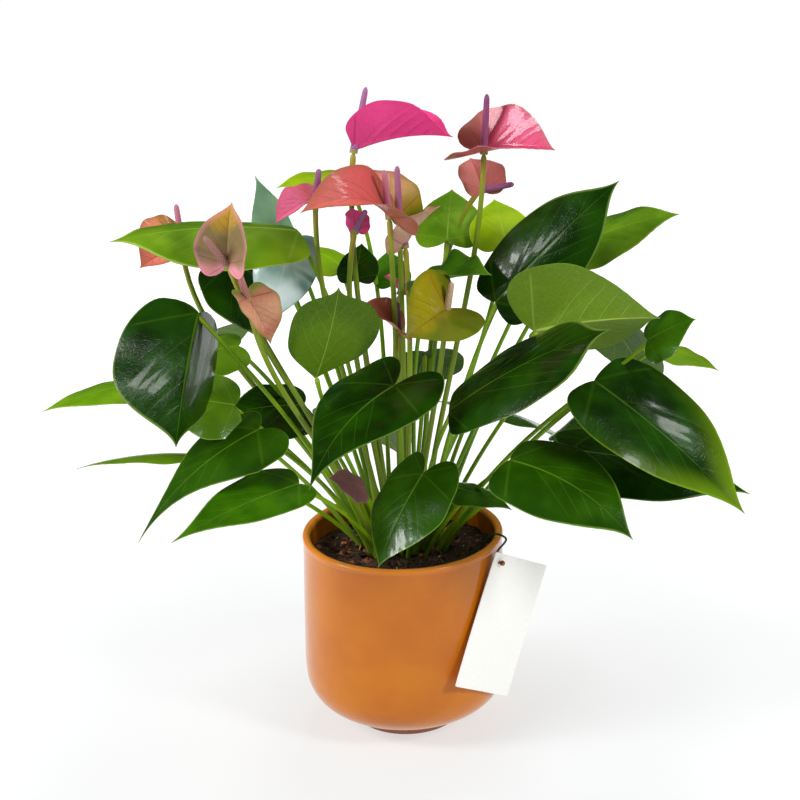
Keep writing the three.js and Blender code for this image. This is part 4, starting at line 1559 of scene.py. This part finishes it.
@dataclass(frozen=True)
class Pot:
    """Glazed cover pot on a bare clay foot. Sizes in mm, colours of 0 to 255."""

    radius: float = 70.0
    belly: float = 71.8
    height: float = 143.0
    wall: float = 5.0
    floor: float = 13.0
    shoulder: float = 41.0
    foot_radius: float = 37.0
    foot_height: float = 8.0
    bead: float = 0.35
    sides: int = 192
    glaze: Rgb = (204, 118, 0)
    pooled: Rgb = (192, 102, 0)
    # The lip's paler glaze: partly where the glaze runs thin, partly a painted highlight.
    thin: Rgb = (244, 148, 60)
    clay: Rgb = (176, 122, 94)
    grit: Rgb = (138, 88, 66)
    gloss: Gloss = Gloss(0.12, 0.8, 0.2, 1.42)

    def profile(self) -> tuple[np.ndarray, int]:
        """Half section from the foot's middle, up the outside, over the rim and down the inside.

        Returns:
            Rows of (radius, height) in metres, and how many of the first rows are bare clay.
        """
        r, h, foot = self.radius, self.height, self.foot_radius
        inner = r - self.wall
        clay = [[1.0, 0.0], [foot - 0.6, 0.0], [foot - 0.1, 0.3], [foot + 0.5, self.foot_height]]
        bowl = through(
            [
                [foot + 0.6 + self.bead, self.foot_height + 0.2],
                [47.0, self.foot_height + 2.2],
                [58.0, self.foot_height + 7.0],
                [66.0, self.foot_height + 14.5],
                [70.4, self.foot_height + 23.5],
                [self.belly, self.shoulder],
                [self.belly - 0.2, self.shoulder + 30.0],
                [r, h - 5.4],
            ],
            8,
        )
        rim = through(
            [
                [r, h - 5.0],
                [r + 0.7, h - 3.6],
                [r + 0.3, h - 1.2],
                [r - 1.6, h],
                [inner + 1.2, h - 0.6],
                [inner, h - 2.6],
                [inner, h - 6.0],
            ],
            5,
        )
        inside = [[inner, self.shoulder], [inner - 2, self.shoulder - 14]]
        inside += [[inner - 12, self.floor + 5], [inner - 28, self.floor], [1.0, self.floor]]
        return np.vstack([clay, bowl, rim, inside]) * MM, len(clay)

    def glazed(self) -> bpy.types.Material:
        """Make the glaze: deep caramel, paler on the rim, where it runs thin and where a highlight is painted
        along the lip, finely mottled, mirror-smooth.

        Returns:
            The material.
        """
        recipe = Recipe("caramel_glaze")
        height, _, _ = recipe.place()
        cloud = recipe.noise(26.0, 4.0)
        flecks = recipe.noise(1400.0, 2.0).ease(0.62, 0.75)
        colour = recipe.mix(self.pooled, self.glaze, cloud.ease(0.2, 0.8))
        # Paler lip: thinner glaze, and a painted highlight along it.
        colour = recipe.mix(colour, self.thin, height.ease(0.97, 0.995) * 0.8)
        colour = recipe.mix(colour, self.pooled, (1.0 - height.ease(0.02, 0.1)) * 0.4)
        colour = recipe.mix(colour, self.pooled, flecks * 0.25)
        waves = recipe.noise(40.0, 1.0) + recipe.noise(500.0, 2.0) * 0.06
        return recipe.close(
            Base_Color=colour,
            Roughness=0.24 + cloud * 0.04,
            Normal=recipe.bump(waves, 0.4, 0.2),
            **self.gloss.sockets(),
        )

    def bare(self) -> bpy.types.Material:
        """Make the foot's unglazed clay: pinkish brown, matt and gritty.

        Returns:
            The material.
        """
        recipe = Recipe("bare_clay")
        grit = recipe.noise(1200.0, 4.0)
        colour = recipe.mix(self.clay, self.grit, grit.ease(0.4, 0.7))
        return recipe.close(Base_Color=colour, Roughness=0.85, Normal=recipe.bump(grit, 0.3, 0.7))

    def build(self) -> None:
        """Make the pot in place of the frame's node."""
        profile, clay_rows = self.profile()
        vertices, quads, triangles = revolve(profile, self.sides)
        place = np.zeros_like(vertices)
        place[:, 0] = vertices[:, 2] / (self.height * MM)
        bare = clay_rows * self.sides
        piece = Piece("pot_fine")
        piece.add(vertices, [(quads[:bare], 1), (quads[bare:], 0), (triangles, 1)], place)
        piece.build([self.glazed(), self.bare()], "glaze", ["pot"], 35.0)


# Soil


def turns(rng: np.random.Generator, count: int) -> np.ndarray:
    """Make rotation matrices, each from a random unit quaternion.

    Args:
        rng: the source of chance.
        count: how many.

    Returns:
        The matrices, as (count, 3, 3).
    """
    w, x, y, z = unit(rng.normal(size=(count, 4))).T
    rows = [
        [1 - 2 * (y * y + z * z), 2 * (x * y - w * z), 2 * (x * z + w * y)],
        [2 * (x * y + w * z), 1 - 2 * (x * x + z * z), 2 * (y * z - w * x)],
        [2 * (x * z - w * y), 2 * (y * z + w * x), 1 - 2 * (x * x + y * y)],
    ]
    return np.array(rows).transpose(2, 0, 1)


@dataclass(frozen=True)
class Soil:
    """Peat that fills the pot, with bark, fibres and white grains on top. Sizes in mm.

    body is its half section below the surface, in rows of (radius, height). Pairs are the least
    and the largest of a size, and two colours of one kind are its palest and its darkest.
    """

    level: float = 127.0
    radius: float = 64.6
    body: tuple[tuple[float, float], ...] = (
        (1.0, 13.4),
        (36.6, 13.4),
        (62.4, 27.0),
        (64.6, 41.0),
        (64.6, 123.0),
    )
    slope: float = 0.03
    relief: float = 1.1
    crumb: float = 0.32
    rings: int = 64
    sides: int = 220
    chips: int = 240
    chip_sizes: tuple[float, float] = (0.8, 3.4)
    chip_width: float = 0.42
    grains: int = 46
    grain_sizes: tuple[float, float] = (0.3, 0.75)
    grain_width: float = 0.85
    lump_rings: tuple[float, ...] = (-0.85, -0.3, 0.35, 0.85)
    lump_sides: int = 6
    lump_jitter: tuple[float, float] = (0.65, 1.15)
    lump_stretch: float = 1.3
    lump_tip: float = 1.35
    fibres: int = 620
    fibre_lengths: tuple[float, float] = (3.0, 12.0)
    fibre_bend: float = 0.4
    fibre_lifts: tuple[float, float] = (0.3, 1.8)
    fibre_radii: tuple[float, float] = (0.1, 0.26)
    fibre_rows: int = 7
    fibre_sides: int = 4
    seed: int = 11
    peat: Rgb = (52, 37, 35)
    crumbs: Rgb = (106, 76, 64)
    bark: Rgb = (188, 116, 76)
    bark_dark: Rgb = (60, 38, 26)
    fibre: Rgb = (122, 88, 60)
    fibre_dark: Rgb = (52, 38, 28)
    grain: Rgb = (240, 238, 232)
    grain_dark: Rgb = (196, 192, 184)

    def height(self, x: np.ndarray, y: np.ndarray) -> np.ndarray:
        """Height of the surface in mm: a tilted plane with two crossed sine swells."""
        bumps = np.sin(0.31 * x + 1.3) * np.cos(0.27 * y) + 0.6 * np.sin(0.17 * (x - y))
        return self.level - self.slope * y + self.relief * bumps

    def scatter(self, rng: np.random.Generator, count: int) -> np.ndarray:
        """Spread points evenly over the surface.

        Args:
            rng: the source of chance.
            count: how many.

        Returns:
            The points in metres, one a row.
        """
        reach = (self.radius - 2.0) * np.sqrt(rng.uniform(0.0, 1.0, count))
        turn = rng.uniform(0.0, 2 * np.pi, count)
        x, y = reach * np.cos(turn), reach * np.sin(turn)
        return np.column_stack([x, y, self.height(x, y)]) * MM

    def bed(self, rng: np.random.Generator) -> tuple:
        """Fill the pot, and roughen the top by small seeded heights.

        Args:
            rng: the source of chance.

        Returns:
            The vertices, quads and triangles.
        """
        below = np.array(self.body)
        across = self.radius * np.linspace(1.0, 0.01, self.rings)
        turn = around(self.sides)
        reach = np.concatenate([below[:, 0], across])[:, None]
        x, y = reach * np.cos(turn), reach * np.sin(turn)
        z = self.height(x, y) + rng.normal(0.0, self.crumb, x.shape)
        z[: len(below)] = below[:, 1:]
        rings = np.stack([x, y, z], -1) * MM
        poles = np.array([[0.0, 0.0, below[0, 1]], [0.0, 0.0, float(z[-1].mean())]]) * MM
        return capped(rings[None], poles[:1], poles[1:])

    def lumps(self, rng: np.random.Generator, count: int, sizes: tuple, width: float) -> tuple:
        """Rough lumps on the surface: jittered rings, flattened, each turned at random.

        Args:
            rng: the source of chance.
            count: how many.
            sizes: the least and largest half length, in mm.
            width: their width as a share of their length.

        Returns:
            The vertices, quads and triangles.
        """
        heights = np.array(self.lump_rings)
        turn = around(self.lump_sides)
        jitter = rng.uniform(*self.lump_jitter, (count, len(heights), self.lump_sides))
        reach = np.sqrt(1 - heights**2)[None, :, None] * jitter
        x, y = reach * np.cos(turn), reach * np.sin(turn) * width
        z = np.broadcast_to(heights[None, :, None] * self.lump_stretch, x.shape)
        size = rng.uniform(*sizes, count)[:, None, None, None] * MM
        middle = self.scatter(rng, count)[:, None, None]
        turned = turns(rng, count)
        rings = np.einsum("nij,nrcj->nrci", turned, np.stack([x, y, z], -1)) * size + middle
        tips = turned[:, :, 2] * size[:, 0, 0] * self.lump_tip
        return capped(rings, middle[:, 0, 0] - tips, middle[:, 0, 0] + tips)

    def strands(self, rng: np.random.Generator) -> tuple:
        """Lay thin fibres over the surface, each an arched and bowed line of its own length.

        Args:
            rng: the source of chance.

        Returns:
            The vertices, quads and triangles.
        """
        start = self.scatter(rng, self.fibres)[:, None]
        share = np.linspace(0.0, 1.0, self.fibre_rows)[None, :, None]
        turn = rng.uniform(0.0, 2 * np.pi, self.fibres)
        ahead = np.column_stack([np.cos(turn), np.sin(turn), np.zeros(self.fibres)])[:, None]
        sideways = np.column_stack([-np.sin(turn), np.cos(turn), np.zeros(self.fibres)])[:, None]
        length = rng.uniform(*self.fibre_lengths, self.fibres)[:, None, None] * MM
        bend = rng.uniform(-self.fibre_bend, self.fibre_bend, self.fibres)[:, None, None]
        lift = rng.uniform(*self.fibre_lifts, self.fibres)[:, None, None] * MM
        arc = np.sin(np.pi * share)
        paths = start + length * (ahead * (share - 0.5) + sideways * bend * arc) + UP * (lift * arc)
        reach = np.linalg.norm(paths[..., :2], axis=-1, keepdims=True)
        inside = np.minimum(1.0, (self.radius - 1.0) * MM / reach)
        paths = np.concatenate([paths[..., :2] * inside, paths[..., 2:]], -1)
        radii = rng.uniform(*self.fibre_radii, self.fibres)[:, None] * MM
        radii = np.repeat(radii, self.fibre_rows, 1)
        return tubes(paths, radii, self.fibre_sides, np.repeat(UP[None], self.fibres, 0))

    def earth(self) -> bpy.types.Material:
        """Make the peat: near black, crumbly, with browner crumbs and a damp sheen here and there.

        Returns:
            The material.
        """
        recipe = Recipe("damp_peat")
        crumbs = recipe.cells(750.0)
        fine = recipe.noise(420.0, 5.0)
        colour = recipe.mix(self.peat, self.crumbs, fine.ease(0.52, 0.75))
        colour = recipe.mix(colour, self.bark, recipe.noise(900.0, 2.0).ease(0.72, 0.8) * 0.5)
        height = fine + (1.0 - crumbs) * 0.6
        return recipe.close(
            Base_Color=colour,
            Roughness=0.95 - recipe.noise(60.0).ease(0.5, 0.7) * 0.25,
            Normal=recipe.bump(height, 1.2, 0.9),
        )

    def woody(self, name: str, dark: Rgb, pale: Rgb) -> bpy.types.Material:
        """Make a fibrous material, one shade for each lump.

        Args:
            name: the material's name.
            dark, pale: the colours that the shades lie between.

        Returns:
            The material.
        """
        recipe = Recipe(name)
        shade, _, _ = recipe.place()
        grain = recipe.noise(500.0, 4.0, recipe.spot((1.0, 5.0, 1.0)))
        colour = recipe.mix(dark, pale, (shade + grain * 0.5 - 0.25).ease(0.0, 1.0))
        return recipe.close(Base_Color=colour, Roughness=0.88, Normal=recipe.bump(grain, 0.4, 0.8))

    def litter(self, name: str, surface: tuple, shades: np.ndarray, material: bpy.types.Material) -> None:
        """Make one piece of the litter, which stands for the frame's soil as well.

        Args:
            name: the piece's name.
            surface: its vertices, quads and triangles.
            shades: one number from 0 to 1 for each lump or fibre.
            material: its material.
        """
        place = np.zeros_like(surface[0])
        place[:, 0] = np.repeat(shades, len(place) // len(shades))
        solid(name, surface, material, PEAT_SLOT, "soil", place, 30.0)

    def build(self) -> None:
        """Make the soil and what lies on it."""
        rng = np.random.default_rng(self.seed)
        bark = self.woody("bark", self.bark_dark, self.bark)
        fibre = self.woody("peat_fibre", self.fibre_dark, self.fibre)
        white = self.woody("white_grain", self.grain_dark, self.grain)
        solid("soil_bed", self.bed(rng), self.earth(), PEAT_SLOT, "soil", sharp=80.0)
        chips = self.lumps(rng, self.chips, self.chip_sizes, self.chip_width)
        self.litter("soil_bark", chips, rng.uniform(0.0, 1.0, self.chips) ** 2, bark)
        grains = self.lumps(rng, self.grains, self.grain_sizes, self.grain_width)
        self.litter("soil_grains", grains, rng.uniform(0.0, 1.0, self.grains), white)
        self.litter("soil_fibres", self.strands(rng), rng.uniform(0.0, 1.0, self.fibres), fibre)


# Tag


@dataclass(frozen=True)
class Tag:
    """Blank card that hangs by a hole on a stiff wire over the rim. Sizes in mm, angles in degrees.

    azimuth is where the card faces and turn how far it has swung in its own plane. The hole lies
    hole_in from one side and hole_down from the top. bow is how far the card's middle stands out.
    The second colour of each kind is the one it is mottled with.
    """

    width: float = 64.0
    length: float = 96.5
    thickness: float = 0.6
    azimuth: float = -42.0
    turn: float = 28.5
    hole: Point = (66.2, -37.9, 132.6)
    hole_in: float = 7.2
    hole_down: float = 6.2
    hole_radius: float = 1.5
    corner: float = 1.4
    bow: float = 0.6
    corner_points: int = 6
    side_points: int = 26
    wire_radius: float = 0.75
    wire_sides: int = 16
    wire_steps: int = 14
    wire_aside: Point = (0.5, 0.86, 0.1)
    knob_radius: float = 1.9
    knob_rows: int = 18
    knob_sides: int = 28
    soil_level: float = Soil.level
    pot_height: float = Pot.height
    card: Rgb = (255, 254, 250)
    card_fibre: Rgb = (228, 225, 216)
    coat: Rgb = (34, 62, 40)
    coat_ribs: Rgb = (52, 84, 52)
    copper: Rgb = (176, 104, 66)
    tarnish: Rgb = (120, 66, 44)

    def axes(self) -> tuple[np.ndarray, np.ndarray, np.ndarray]:
        """Turn the card to its azimuth, and swing it in its own plane.

        Returns:
            The directions across it, up it and out of its face.
        """
        azimuth, turn = math.radians(self.azimuth), math.radians(self.turn)
        out = np.array([math.cos(azimuth), math.sin(azimuth), 0.0])
        level = np.array([-out[1], out[0], 0.0])
        across = level * math.cos(turn) - UP * math.sin(turn)
        return across, np.cross(out, across), out

    def perimeter(self) -> np.ndarray:
        """Outline of the card about its hole: four straight sides and four rounded corners.

        Returns:
            The outline's points in mm, one a row.
        """
        left, right = -self.hole_in, self.width - self.hole_in
        low, high = self.hole_down - self.length, self.hole_down
        r = self.corner
        middles = [[right - r, high - r], [left + r, high - r], [left + r, low + r], [right - r, low + r]]
        corners = []
        for quarter, middle in enumerate(middles):
            angle = np.pi / 2 * (quarter + np.linspace(0.0, 1.0, self.corner_points))
            corners.append(np.array(middle) + r * np.column_stack([np.cos(angle), np.sin(angle)]))
        share = np.linspace(0.0, 1.0, self.side_points)[1:-1, None]
        outline = []
        for corner, onward in zip(corners, corners[1:] + corners[:1]):
            side = corner[-1] + share * (onward[0] - corner[-1])
            outline += [corner, side]
        return np.vstack(outline)

    def add_card(self, piece: Piece) -> None:
        """Add the card: from the hole out over the back, round the edge and in over the face.

        Args:
            piece: the piece that it joins.
        """
        edge = self.perimeter()
        inner = unit(edge) * self.hole_radius
        half, soft = self.thickness / 2, self.thickness / 8
        out = np.array([0.0, 0.012, 0.1, 0.3, 0.55, 0.8, 0.985, 1.0])
        shares = np.concatenate([out, out[::-1]])
        lift = np.concatenate([[-half + soft], np.full(6, -half), [-half + soft]])
        lift = np.concatenate([lift, -lift[::-1]])
        flat = inner[None] + (edge - inner)[None] * shares[:, None, None]
        bow = self.bow * np.sin(np.pi * (flat[..., 1] - self.hole_down) / self.length)
        across, upright, face = self.axes()
        points = flat[..., :1] * across + flat[..., 1:] * upright + (lift[:, None] + bow)[..., None] * face
        vertices = (np.array(self.hole) + points).reshape(-1, 3) * MM
        rows, columns = flat.shape[:2]
        quads = grid_quads(rows + 1, columns) % (rows * columns)
        piece.add(vertices, [(quads, 0)])

    def route(self) -> list[np.ndarray]:
        """Lead the wire from the soil, over the rim, to the hole and out of it.

        Returns:
            The points that it passes through, in mm.
        """
        _, _, out = self.axes()
        hole = np.array(self.hole)
        behind = hole - out * 2.0
        return [
            np.array([41.0, -17.0, self.soil_level - 5.0]),
            np.array([44.0, -15.0, self.soil_level + 1.0]),
            np.array([53.0, -15.0, self.soil_level + 6.0]),
            np.array([60.5, -16.5, self.pot_height - 0.5]),
            np.array([66.0, -19.5, self.pot_height + 2.6]),
            np.array([71.8, -24.0, self.pot_height + 0.8]),
            behind + UP * 6.5,
            behind,
            hole + out * (self.knob_radius + 0.9),
        ]

    def add_wire(self, piece: Piece) -> None:
        """Add the wire, and the round knob that holds the card on it.

        Args:
            piece: the piece that they join.
        """
        path = through(self.route(), self.wire_steps) * MM
        radii = np.full((1, len(path)), self.wire_radius * MM)
        aside = unit(np.array([self.wire_aside]))
        vertices, quads, triangles = tubes(path[None], radii, self.wire_sides, aside)
        piece.add(vertices, [(quads, 0), (triangles, 0)])
        pole = np.pi / 2 - 0.08
        turn = np.linspace(-pole, pole, self.knob_rows)
        profile = np.column_stack([np.cos(turn), np.sin(turn)]) * self.knob_radius * MM
        vertices, quads, triangles = revolve(profile, self.knob_sides)
        piece.add(vertices + path[-1], [(quads, 1), (triangles, 1)])

    def paper(self) -> bpy.types.Material:
        """Make the card: warm white and matt, with a fine fibre.

        Returns:
            The material.
        """
        recipe = Recipe("blank_card")
        fibre = recipe.noise(1600.0, 3.0)
        colour = recipe.mix(self.card, self.card_fibre, fibre.ease(0.45, 0.75) * 0.5)
        return recipe.close(
            Base_Color=colour,
            Roughness=0.62 + fibre * 0.15,
            Normal=recipe.bump(fibre, 0.06, 0.5),
        )

    def coated(self) -> bpy.types.Material:
        """Make the wire's green coat, faintly mottled.

        Returns:
            The material.
        """
        recipe = Recipe("green_coat")
        ribs = recipe.noise(700.0, 2.0)
        colour = recipe.mix(self.coat, self.coat_ribs, ribs.ease(0.4, 0.7))
        return recipe.close(Base_Color=colour, Roughness=0.42, Normal=recipe.bump(ribs, 0.2, 0.4))

    def metal(self) -> bpy.types.Material:
        """Make the knob's copper, dulled in spots.

        Returns:
            The material.
        """
        recipe = Recipe("copper_knob")
        tarnish = recipe.noise(400.0, 3.0)
        colour = recipe.mix(self.copper, self.tarnish, tarnish.ease(0.45, 0.7))
        return recipe.close(Base_Color=colour, Metallic=0.85, Roughness=0.3 + tarnish * 0.2)

    def build(self) -> None:
        """Make the card and the wire in place of the frame's nodes."""
        card = Piece("tag_card_fine")
        self.add_card(card)
        card.build([self.paper()], "card", ["tag_card"], 40.0)
        wire = Piece("tag_wire_fine")
        self.add_wire(wire)
        wire.build([self.coated(), self.metal()], "coated_wire", ["tag_wire"])


# Crown, hidden in the soil


@dataclass(frozen=True)
class Crown:
    """The flat crown that carries every stalk, below the soil's surface. Millimetres."""

    level: float = StalkPlan.crown_level
    thickness: float = 6.0
    radius: float = 32.0
    edge_points: int = 9
    sides: int = 64

    def build(self, finish: StalkFinish) -> None:
        """Make the crown with a rounded edge.

        Args:
            finish: its finish.
        """
        half = self.thickness / 2
        turn = np.linspace(-np.pi / 2, np.pi / 2, self.edge_points)
        edge = np.column_stack([self.radius - half + half * np.cos(turn), half * np.sin(turn)])
        below, above = [[1.0, -half], [20.0, -half]], [[20.0, half], [1.0, half]]
        profile = np.vstack([below, edge, above]) + np.array([0.0, self.level])
        solid("crown", revolve(profile * MM, self.sides), finish.material(), STEMS_SLOT, "stems")


# Studio


@dataclass(frozen=True)
class SoftBox:
    """A square soft light: metres, watts, the point it faces and whether glossy faces mirror it."""

    name: str
    place: Point
    target: Point
    size: float
    power: float
    mirrored: bool = True

    def build(self) -> None:
        """Put the light in the scene."""
        light = bpy.data.lights.new(self.name, "AREA")
        light.size = self.size
        light.energy = self.power
        box = bpy.data.objects.new(self.name, light)
        aim = Vector(self.target) - Vector(self.place)
        box.location = self.place
        box.rotation_euler = aim.to_track_quat("-Z", "Y").to_euler()
        box.visible_glossy = self.mirrored
        bpy.context.scene.collection.objects.link(box)


@dataclass(frozen=True)
class Studio:
    """Pale glowing floor, white backdrop and soft boxes: bright all round, darker on the right."""

    floor_half: float = 1.5
    floor: Rgb = (150, 152, 153)
    near_glow: Rgb = (204, 204, 204)
    far_glow: Rgb = (250, 250, 250)
    glow_reach: tuple[float, float] = (0.2, 0.8)
    sky: float = 0.3
    painted_sheen: float = 0.03
    backdrop: float = 1.02
    boxes: tuple[SoftBox, ...] = (
        SoftBox("back_box", (0.3, 0.9, 1.6), (0.0, 0.0, 0.25), 0.9, 17.0, False),
        SoftBox("key_box", (-1.3, -0.45, 1.0), (0.0, 0.0, 0.2), 0.45, 16.5),
        SoftBox("right_box", (1.25, -0.95, 1.15), (0.0, 0.0, 0.2), 0.4, 16.5),
        SoftBox("window_box", (0.9, 0.03, 1.32), (0.1, 0.0, 0.3), 0.2, 1.6),
        SoftBox("front_box", (-0.78, -0.68, 1.17), (-0.1, 0.0, 0.3), 0.18, 1.4),
    )

    def build(self) -> None:
        """Make the floor, the lights, the sky and the camera."""
        half = self.floor_half
        mesh = bpy.data.meshes.new("studio_floor")
        corners = [(-half, -half, 0.0), (half, -half, 0.0), (half, half, 0.0), (-half, half, 0.0)]
        mesh.from_pydata(corners, [], [(0, 1, 2, 3)])
        mesh.materials.append(self.paper())
        ground = bpy.data.objects.new("studio_floor", mesh)
        bpy.context.scene.collection.objects.link(ground)
        for box in self.boxes:
            box.build()
        self.light_sky()
        SIGHT.camera()
        bpy.context.scene.view_settings.view_transform = "Standard"

    def paper(self) -> bpy.types.Material:
        """Make the floor's material, whose glow grows away from the pot until it meets the backdrop.

        Returns:
            The material.
        """
        recipe = Recipe("studio_paper")
        away = recipe.node("ShaderNodeVectorMath", {"operation": "LENGTH"}, {0: recipe.spot()})
        share = Value(recipe, away.outputs["Value"]).ease(*self.glow_reach)
        return recipe.close(
            Base_Color=linear(self.floor),
            Roughness=0.9,
            Emission_Color=recipe.mix(self.near_glow, self.far_glow, share),
            Emission_Strength=1.0,
        )

    def light_sky(self) -> None:
        """Give the world a white that shows behind the plant, lights it softly and hardly mirrors in it."""
        world = bpy.data.worlds.new("studio_sky")
        world.use_nodes = True
        sky = Nodes(world.node_tree)
        ray = sky.node("ShaderNodeLightPath").outputs
        glossy = {"Factor": ray["Is Glossy Ray"], "A": self.sky, "B": self.painted_sheen}
        lit = sky.node("ShaderNodeMix", None, glossy).outputs["Result"]
        seen = {"Factor": ray["Is Camera Ray"], "A": lit, "B": self.backdrop}
        strength = sky.node("ShaderNodeMix", None, seen).outputs["Result"]
        shade = {"Color": (1.0, 1.0, 1.0, 1.0), "Strength": strength}
        glow = sky.node("ShaderNodeBackground", None, shade)
        sky.node("ShaderNodeOutputWorld", None, {"Surface": glow.outputs[0]})
        bpy.context.scene.world = world


# The whole plant


SEED = 3
LEAF_SHADES = (0.2, 1.0)
BLOOM_SHADES = (0.0, 0.6)


def build_leaves(bundle: StalkBundle, rng: np.random.Generator) -> None:
    """Make every leaf, and add its stalk to the bundle.

    Args:
        bundle: the leaf stalks.
        rng: the source of chance for the stalks' shades.
    """
    faces = {tone: [tone.value.upper(), tone.value.lower()] for tone in Tone}
    for name, (tone, blade) in LEAVES.items():
        piece = Piece(name + "_fine")
        blade.add_to(piece, 0, 1)
        piece.build(faces[tone], tone.value.slot, [name])
        bundle.add(STALKS.under_leaf(blade), float(rng.uniform(*LEAF_SHADES)))


def build_blooms(bundle: StalkBundle, rng: np.random.Generator) -> None:
    """Make every bloom, and add its stalk to the bundle.

    Args:
        bundle: the bloom stalks.
        rng: the source of chance for the stalks' shades.
    """
    for name, flower in BLOOMS.items():
        flower.build(name)
        bundle.add(flower.stalk(), float(rng.uniform(*BLOOM_SHADES)))


def main() -> None:
    """Build the plant, its pot, its tag and the studio."""
    logging.basicConfig(level=logging.INFO, format="%(name)s: %(message)s")
    rng = np.random.default_rng(SEED)
    leaf_stalks = StalkBundle(STALKS.leaf_radius, STALKS.leaf_knuckle)
    bloom_stalks = StalkBundle(STALKS.bloom_radius, STALKS.bloom_knuckle)
    build_leaves(leaf_stalks, rng)
    build_blooms(bloom_stalks, rng)
    leaf_stalks.build("leaf_stalks", StalkFinish("leaf_stalk"))
    blushed = StalkFinish("bloom_stalk", middle=(132, 156, 36), deep=(92, 110, 20), top=(176, 150, 62))
    bloom_stalks.build("bloom_stalks", blushed)
    Crown().build(StalkFinish("crown_skin"))
    Pot().build()
    Soil().build()
    Tag().build()
    Studio().build()


if __name__ == "__main__":
    main()
